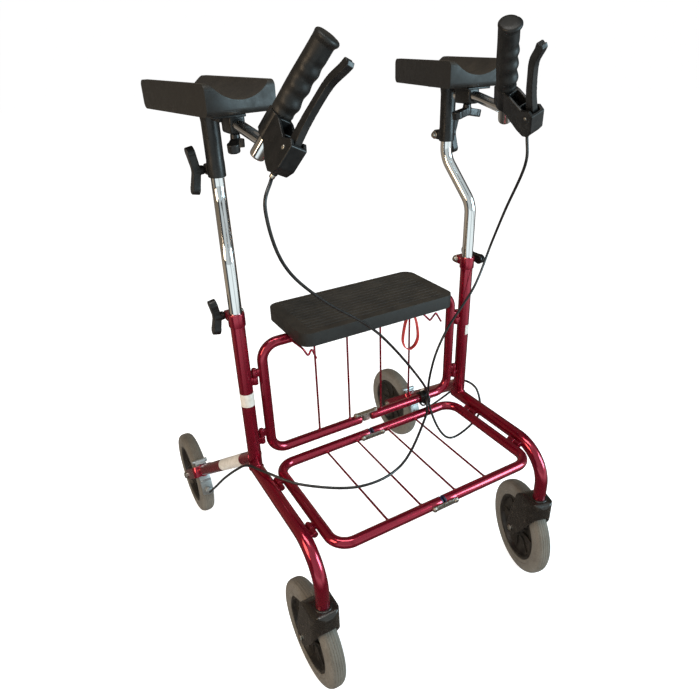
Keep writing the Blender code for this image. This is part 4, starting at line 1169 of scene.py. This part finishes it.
def hand_bar(side, s, lift):
    """The chrome bar from the clamp to the stub that carries the grip."""
    place = hand_matrix(s, lift)
    meets = place @ Vector((0, BAR_MEETS, 0))
    corners = [(s * BAR_X, 0.020, BAR_Z + lift), (s * BAR_X, -0.036, BAR_Z + lift), meets]
    path = fillet(corners, 0.03, steps=20)
    foot = quarter(CHROME_R - 0.0040, 0.0040, 0.0040, 0, -90, 8)
    stub = turned([(0.0, 0.120), (CHROME_R, 0.120), *foot, (0.0, 0.0)], 48, place @ UP_TO_GRIP)
    bar = tube(path, BAR_R, 40)
    piece(f"hand_bar_{side}", join(bar, stub), "chrome_tube", f"hand_{side}", f"hand_bar_{side}")


def hand_grip(side, s, lift):
    """The rubber grip: finger waves on the lever's side, a palm swell and a lipped end."""
    place = hand_matrix(s, lift)
    top, foot, rows = GRIP_TO - 0.0090, GRIP_FROM + 0.0040, 100
    cap = [(0.0, GRIP_TO), (0.0090, GRIP_TO), (0.0128, GRIP_TO - 0.0004), (0.0148, GRIP_TO - 0.0014),
           (0.0159, GRIP_TO - 0.0030), (0.0161, GRIP_TO - 0.0048), (0.0158, GRIP_TO - 0.0066)]
    body = [(0.0156, top - (top - foot) * k / rows) for k in range(rows + 1)]
    bore = CHROME_R + 0.0004
    collar = [(0.0156, GRIP_FROM + 0.0016), (0.0146, GRIP_FROM), (bore, GRIP_FROM)]
    mesh = turned(cap + body + collar + [(bore, BORE_TOP), (0.0, BORE_TOP)], 96)
    for vertex in mesh.vertices:
        radius = math.hypot(vertex.co.x, vertex.co.y)
        if radius < bore + 0.0005:
            continue
        toward, height = vertex.co.x / radius, vertex.co.z
        front, rear = max(0.0, toward) ** 0.8, max(0.0, -toward)
        window = 1 / (1 + math.exp((height - 0.146) / 0.003))
        wave = 0.0014 * math.cos(math.tau * (height - 0.1105) / 0.0225) * window
        flare = 0.0012 * math.exp(-((height - 0.084) / 0.006) ** 2)
        swell = 0.0014 * math.exp(-((height - 0.112) / 0.030) ** 2)
        lip = 0.0040 / (1 + math.exp((GRIP_TO - 0.0085 - height) / 0.0010))
        grown = 1 + (front * (wave + flare + lip) + rear * swell) / max(radius, 0.010)
        vertex.co.x *= grown
        vertex.co.y *= grown
    mesh.transform(place @ UP_TO_GRIP)
    piece(f"hand_grip_{side}", mesh, "grip_rubber", f"hand_{side}", f"hand_grip_{side}", sharp=50)


def brake_housing(side, s, lift):
    """The block round the stub, with a pocket and a pin for the lever."""
    place = hand_matrix(s, lift)
    outline = [
        (-0.0145, 0.034), (0.014, 0.030), (0.042, 0.017), (0.056, 0.014), (0.066, 0.019),
        (0.0735, 0.032), (0.0735, 0.064), (0.064, 0.069), (0.048, 0.060), (0.018, 0.0685),
        (-0.0145, 0.0685),
    ]
    flat = slab([outline], 2 * HOUSING_HALF)
    barrel = rod((0, 0.0322, 0), (0, 0.0690, 0), 0.0150, 48)
    pocket = box((0.0420, 0.036, -0.0075), (0.0703, 0.090, 0.0075))
    well = box((0.0170, 0.046, -0.0080), (0.0400, 0.090, 0.0080))
    shape = moulded(cut(join(flat, barrel), pocket, well), 0.0008, 5)
    shape = cut(shape, rod((0, 0.01, 0), (0, 0.09, 0), CHROME_R + 0.0003, 48))
    shape.transform(place)
    nub = puck(place @ Vector((0.0545, 0.012, 0)), place @ Vector((0.0545, 0.0185, 0)), 0.0048, 0.0010)
    piece(f"brake_housing_{side}", together(shape, nub), "black_plastic", f"hand_{side}",
          f"brake_housing_{side}", sharp=45)
    across = place.to_3x3() @ Z
    pin_at = place @ Vector((*LEVER_PIVOT, 0))
    screw_at = place @ Vector((0.003, 0.0515, 0))
    fittings = [
        puck(pin_at - across * 0.0136, pin_at + across * 0.0136, 0.0030, 0.0008),
        hex_bolt(screw_at - across * 0.0164, -across, 0.0034, 0.0022),
        ring(place @ Vector((0.0545, 0.0065, 0)), place @ Vector((0.0545, 0.0122, 0)), 0.0039, 0.0024),
    ]
    piece(f"brake_fittings_{side}", together(*fittings), "zinc_steel", f"hand_{side}")


def brake_lever(side, s, lift):
    """The finger lever beside the grip, turning on the housing's pin."""
    place = hand_matrix(s, lift)
    u, v = LEVER_PIVOT
    spine = smooth_path([
        (0.0598, 0.060, 0), (0.0578, 0.072, 0), (0.0556, 0.086, 0), (0.0545, 0.102, 0), (0.0540, 0.122, 0),
        (0.0542, 0.139, 0), (0.0560, 0.150, 0), (0.0600, 0.160, 0), (0.0640, 0.169, 0), (0.0668, 0.178, 0),
    ], 4)
    left, right = [], []
    for k, point in enumerate(spine):
        ahead, behind = spine[min(k + 1, len(spine) - 1)], spine[max(k - 1, 0)]
        along_it = (ahead - behind).normalized()
        out = Vector((along_it.y, -along_it.x, 0))
        share = k / (len(spine) - 1)
        half = 0.0082 - 0.0022 * min(share / 0.4, 1.0) + 0.0006 * max(0.0, (share - 0.86) / 0.14)
        left.append(point - out * half)
        right.append(point + out * half)
    end = spine[-1]
    notch = [end + Vector((a, b, 0)) for a, b in ((0.0030, 0.0035), (0.0004, 0.0008), (-0.0032, 0.0030))]
    outline = [(p.x, p.y) for p in (*right, *notch, *left[::-1])]
    outline += arc(LEVER_PIVOT, 0.0078, 160, 380, 20)
    blade = slab([outline], 2 * 0.0050)
    shape = moulded(blade, 0.0007, 6)
    shape = cut(shape, rod((u, v, -0.02), (u, v, 0.02), 0.0033, 32))
    shape.transform(place)
    piece(f"brake_lever_{side}", shape, "black_plastic", f"lever_{side}", f"brake_lever_{side}", sharp=45)


# ---------------------------------------------------------------- clamps
def wing_knob(name, body, seat_at, outward, turn, reach=0.032):
    """A knob whose two thick wings sweep outward from a waisted hub."""
    place = along(seat_at, outward) @ Matrix.Rotation(turn, 4, "Z")
    radius = 0.0093
    hub = turned([(0.0, 0.0205), (0.0052, 0.0202), (0.0074, 0.0180), (0.0078, 0.0110), (0.0070, 0.0006),
                  (0.0, 0.0006)], 40)
    wings = []
    for sign in (-1, 1):
        outline = [(-0.003, -0.0062), *arc((reach - radius, 0), radius, -118, 118, 20), (-0.003, 0.0062)]
        outline = [(sign * a, b) for a, b in outline]
        sweep = Matrix.Translation((0, 0, 0.0128)) @ Matrix.Rotation(-sign * math.radians(11), 4, "Y")
        wings.append(slab([outline], 0.0128, sweep))
    knob = moulded(join(hub, *wings), 0.0008, 14)
    knob.transform(place)
    screw = puck(place @ Vector((0, 0, -0.0028)), place @ Vector((0, 0, 0.002)), 0.0029)
    piece(name, together(knob, screw), "black_plastic", body, name, sharp=50)


def clamp_bolt(name, body, seat_at, outward):
    """The domed head on a clamp's inner side, with its shank in the ear."""
    place = along(seat_at, outward)
    dome = [(0.0, 0.0062), (0.0022, 0.0060), (0.0044, 0.0050), (0.0058, 0.0028), (0.0060, 0.0008)]
    head = turned([*dome, (0.0, 0.0008)], 40, place)
    socket = turned([(0.0, 0.02), (0.0022, 0.02), (0.0022, 0.0032), (0.0, 0.0032)], 6, place)
    washer = puck(seat_at, place @ Vector((0, 0, 0.0009)), 0.0075, 0.0003)
    shank = puck(place @ Vector((0, 0, -0.024)), seat_at, 0.0028)
    piece(name, together(cut(head, socket), washer, shank), "zinc_steel", body, name)


def clamps(side, s, lift):
    """The knobs and bolt heads of the post, sleeve and hand-bar clamps."""
    upright = math.pi / 2
    outward = X * s
    post_at = Vector((s * POST_X, CLAMP_BACK, CLAMP_Z))
    sleeve_at = Vector((s * UPPER_X, BEND_BACK + CLAMP_BACK, SLEEVE_CLAMP_Z + lift))
    under_bar = Vector((s * BAR_X, -0.010, BAR_Z - 0.012 + lift))
    turn = {"left": upright, "right": 0.15}[side]
    ear = outward * EAR_HALF
    wing_knob(f"post_knob_{side}", f"post_clamp_{side}", post_at + ear, outward, turn)
    wing_knob(f"sleeve_knob_{side}", f"sleeve_clamp_{side}", sleeve_at + ear, outward, upright, 0.038)
    wing_knob(f"bar_knob_{side}", f"bar_clamp_{side}", under_bar, -Z, {"left": 2.08, "right": 3.05}[side])
    clamp_bolt(f"post_bolt_{side}", f"{side}_frame", post_at - ear, -outward)
    clamp_bolt(f"sleeve_bolt_{side}", f"arm_{side}", sleeve_at - ear, -outward)


# ---------------------------------------------------------------- cables
def cable_run(side, guides, spans):
    """One brake cable, cut where it passes from one body to the next.

    Each span is (number of guides it covers, body, next body); a span with one body rides."""
    s, lift = SIDES[side], ARM_RAISE[side]
    leaves = hand_matrix(s, lift) @ Vector((0.0545, 0.0075, 0))
    arrives = around_wheel(s, ANCHOR_TOP_R + 0.0040, ANCHOR_ANGLE)
    per_span = 8
    path = smooth_path([leaves, *guides, arrives], per_span)
    at = 0
    for k, (count, body, following) in enumerate(spans):
        end = at + count * per_span
        mesh = tube(path[max(at - 1, 0):min(end + 2, len(path))], CABLE_R, 20)
        name = f"brake_cable_{side}_{k + 1}"
        nodes = [f"brake_cable_{side}"] if k == 0 else []
        if following:
            obj = piece(name, mesh, "cable_sheath", None, *nodes)
            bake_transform(obj)
        else:
            piece(name, mesh, "cable_sheath", body, *nodes)
        at = end


def cables():
    """Each brake cable, from below its lever to its shoe, gathered at the tie."""
    cable_run("left", [
        (-0.243, -0.172, 0.864), (-0.219, -0.160, 0.782), (-0.152, -0.135, 0.705),
        (-0.020, -0.089, 0.590), (0.117, -0.040, 0.416), (0.136, -0.029, 0.358),
        (0.100, -0.068, 0.347), (-0.015, -0.155, 0.342), (-0.112, -0.166, 0.342),
        (-0.200, -0.115, 0.348), (-0.245, -0.052, 0.3515), (-0.265, -0.006, 0.345),
        (-0.274, 0.040, 0.308), (-0.285, 0.111, 0.239), (-0.292, 0.175, 0.172),
    ], [
        (1, "hand_left", "arm_left"), (1, "arm_left", "upper_post_left"),
        (1, "upper_post_left", "left_frame"), (1, "left_frame", "back_left"),
        (1, "back_left", "back_link"), (1, "back_link", "back_right"),
        (1, "back_right", "back_link"), (1, "back_link", "back_left"), (2, "back_left", "left_frame"),
        (5, "left_frame", None), (1, "left_frame", "shoe_left"),
    ])
    cable_run("right", [
        (0.226, -0.152, 0.860), (0.261, -0.080, 0.765), (0.296, -0.014, 0.678),
        (0.242, -0.032, 0.601), (0.175, -0.034, 0.522), (0.146, -0.030, 0.449),
        (0.143, -0.024, 0.362), (0.162, -0.044, 0.285), (0.205, -0.044, 0.250),
        (0.266, -0.050, 0.290), (0.275, -0.028, 0.345), (0.266, 0.018, 0.349),
        (0.276, 0.055, 0.300), (0.285, 0.111, 0.239), (0.292, 0.175, 0.172),
    ], [
        (1, "hand_right", "arm_right"), (1, "arm_right", "upper_post_right"),
        (1, "upper_post_right", "right_frame"), (3, "right_frame", "back_right"),
        (1, "back_right", None), (3, "back_right", "right_frame"),
        (5, "right_frame", None), (1, "right_frame", "shoe_right"),
    ])


def build():
    for side, s in SIDES.items():
        lift = ARM_RAISE[side]
        post(side, s)
        rail(side, s)
        rear_bracket(side, s)
        rear_axle(side, s)
        wheel("rear", side, (s * REAR_X, REAR_Y, WHEEL_R), Matrix(), f"rear_wheel_{side}")
        brake_shoe(side, s)
        caster(side, s)
        back_panel(side, s)
        shelf_panel(side, s)
        chrome_post(side, s, lift)
        arm_sleeve(side, s, lift)
        trough(side, s, lift)
        hand_bar(side, s, lift)
        hand_grip(side, s, lift)
        brake_housing(side, s, lift)
        brake_lever(side, s, lift)
        clamps(side, s, lift)
    post_labels()
    link_plate("back_link_lower", "back_link", (0, 0, BACK_LOW_Z), Z, tongue=True)
    link_plate("back_link_upper", "back_link", (0, 0, BACK_TOP_Z), -Z)
    link_plate("shelf_link_rear", "shelf_link", (0, SHELF_REAR_Y, SHELF_Z), -Y)
    link_plate("shelf_link_front", "shelf_link", (0, SHELF_FRONT_Y, SHELF_Z), -Y)
    seat()
    pull_strap()
    cable_tie()
    cables()


# ---------------------------------------------------------------- stage
def stage_piece(name, mesh, material, rays):
    """Stands part of the studio where only some kinds of rays can see it."""
    mesh.materials.append(material)
    obj = place_object(mesh)
    obj.name = name
    for ray in ("camera", "diffuse", "glossy", "transmission", "volume_scatter", "shadow"):
        setattr(obj, f"visible_{ray}", ray in rays)
    return obj


def floor():
    """A plain pale floor; what gloss mirrors of the room is a card just below it."""
    look = Look("pale_floor", (0.80, 0.80, 0.80), 0.8, Emission_Strength=0.80)
    look.shader.inputs["Emission Color"].default_value = (1, 1, 1, 1)
    look.spotted(look.patches(3, 2, 0.3, 0.7), (0.79, 0.79, 0.79), (0.81, 0.81, 0.81))
    bm = bmesh.new()
    bmesh.ops.create_grid(bm, x_segments=1, y_segments=1, size=30)
    stage_piece("floor", from_bmesh(bm), look.material, ("camera", "diffuse", "shadow"))


def glow(name, stops, near):
    """A material whose glow changes with the direction from the middle, and dims near it."""
    material = bpy.data.materials.new(name)
    material.use_nodes = True
    nodes, links = material.node_tree.nodes, material.node_tree.links
    nodes.clear()
    place = nodes.new("ShaderNodeTexCoord").outputs["Object"]
    around = nodes.new("ShaderNodeTexGradient")
    around.gradient_type = "RADIAL"
    ramp = nodes.new("ShaderNodeValToRGB")
    elements = ramp.color_ramp.elements
    for degrees, color in stops:
        elements.new((degrees / 360 + 0.5) % 1.0).color = (*color, 1)
    elements.remove(elements[0])
    elements.remove(elements[-1])
    length = nodes.new("ShaderNodeVectorMath")
    length.operation = "LENGTH"
    reach = nodes.new("ShaderNodeMapRange")
    for socket, number in zip(("From Min", "From Max", "To Min", "To Max"), (0.9, 1.7, 0.0, 1.0)):
        reach.inputs[socket].default_value = number
    mix = nodes.new("ShaderNodeMix")
    mix.data_type = "RGBA"
    mix.inputs[6].default_value = (*near, 1)
    light, out = nodes.new("ShaderNodeEmission"), nodes.new("ShaderNodeOutputMaterial")
    for start, end in (
        (place, around.inputs[0]), (around.outputs["Fac"], ramp.inputs[0]), (place, length.inputs[0]),
        (length.outputs["Value"], reach.inputs["Value"]), (reach.outputs[0], mix.inputs[0]),
        (ramp.outputs["Color"], mix.inputs[7]), (mix.outputs[2], light.inputs["Color"]),
        (light.outputs[0], out.inputs["Surface"]),
    ):
        links.new(start, end)
    return material


def surroundings():
    """What gloss mirrors: a warm wall to the left, a bright window ahead, the rest dim."""
    warm, dark, cool, dim = (0.34, 0.27, 0.19), (0.05, 0.05, 0.05), (0.95, 1.05, 1.06), (0.22, 0.21, 0.20)
    window_bar = (0.45, 0.5, 0.5)
    stops = [
        (-179, dim), (-168, dark), (-156, dark), (-150, cool), (-100, cool), (-92, window_bar), (-80, cool),
        (-30, cool), (-12, dim), (20, dark), (60, warm), (100, dim), (140, warm), (172, warm),
    ]
    bm = bmesh.new()
    bmesh.ops.create_circle(bm, cap_ends=True, segments=64, radius=8)
    wood = (0.10, 0.085, 0.07)
    card = stage_piece("mirrored_floor", from_bmesh(bm), glow("floor_glow", stops, wood), ("glossy",))
    card.location.z = -0.004
    bm = bmesh.new()
    bmesh.ops.create_uvsphere(bm, u_segments=48, v_segments=24, radius=8.2)
    soft = [(degrees, [0.60 * v for v in color]) for degrees, color in stops]
    stage_piece("mirrored_room", from_bmesh(bm), glow("room_glow", soft, dim), ("glossy",))


def area_light(name, place, power, size, color):
    data = bpy.data.lights.new(name, "AREA")
    data.energy = power
    data.color = color
    data.shape = "RECTANGLE"
    data.size, data.size_y = size
    obj = bpy.data.objects.new(name, data)
    bpy.context.scene.collection.objects.link(obj)
    obj.location = place
    obj.visible_camera = False
    aim = Vector((0, 0, 0.5)) - Vector(place)
    obj.rotation_euler = aim.to_track_quat("-Z", "Y").to_euler()


def lights():
    """A pale surround, a cool window ahead, a warm fill from the left and a top light."""
    world = bpy.data.worlds.new("studio")
    bpy.context.scene.world = world
    world.use_nodes = True
    backdrop = world.node_tree.nodes["Background"]
    backdrop.inputs["Color"].default_value = (1.0, 1.0, 1.0, 1)
    backdrop.inputs["Strength"].default_value = 0.30
    area_light("window", (1.9, -2.1, 1.3), 72, (1.2, 1.5), (0.62, 0.88, 1.0))
    area_light("lamp", (-2.3, -0.5, 1.5), 27, (1.0, 1.4), (1.0, 0.76, 0.52))
    area_light("top", (-0.3, -0.4, 2.7), 20, (1.5, 0.6), (1.0, 0.97, 0.92))
    bm = bmesh.new()
    bmesh.ops.create_cone(bm, segments=96, radius1=12, radius2=12, depth=8)
    wall = Look("pale_wall", (0.0, 0.0, 0.0), 1.0, Emission_Strength=1.0)
    wall.shader.inputs["Emission Color"].default_value = (1, 1, 1, 1)
    stage_piece("backdrop", from_bmesh(bm), wall.material, ("camera",))


CAMERA_AT = Vector((-0.5168, -0.8799 + POST_PLANE_Y, 1.0583))
CAMERA_TURN = (-28.864, 28.0775, -2.0532)    # azimuth, elevation and roll in degrees
CAMERA_LENS = 30.34


def camera():
    """The camera, in front of the walker's left side and above it."""
    azimuth, elevation, roll = (math.radians(degrees) for degrees in CAMERA_TURN)
    level = math.cos(elevation)
    back = Vector((math.sin(azimuth) * level, -math.cos(azimuth) * level, math.sin(elevation)))
    right = (-back).cross(Z).normalized()
    up = right.cross(-back)
    rolled_right = right * math.cos(roll) + up * math.sin(roll)
    rolled_up = up * math.cos(roll) - right * math.sin(roll)
    turn = Matrix((rolled_right, rolled_up, back)).transposed().to_4x4()
    data = bpy.data.cameras.new("camera")
    data.lens = CAMERA_LENS
    data.sensor_width = 36
    obj = bpy.data.objects.new("camera", data)
    bpy.context.scene.collection.objects.link(obj)
    obj.matrix_world = Matrix.Translation(CAMERA_AT) @ turn
    bpy.context.scene.camera = obj


build()
floor()
surroundings()
lights()
camera()
bpy.context.scene.view_settings.view_transform = "Standard"
bpy.context.view_layer.update()
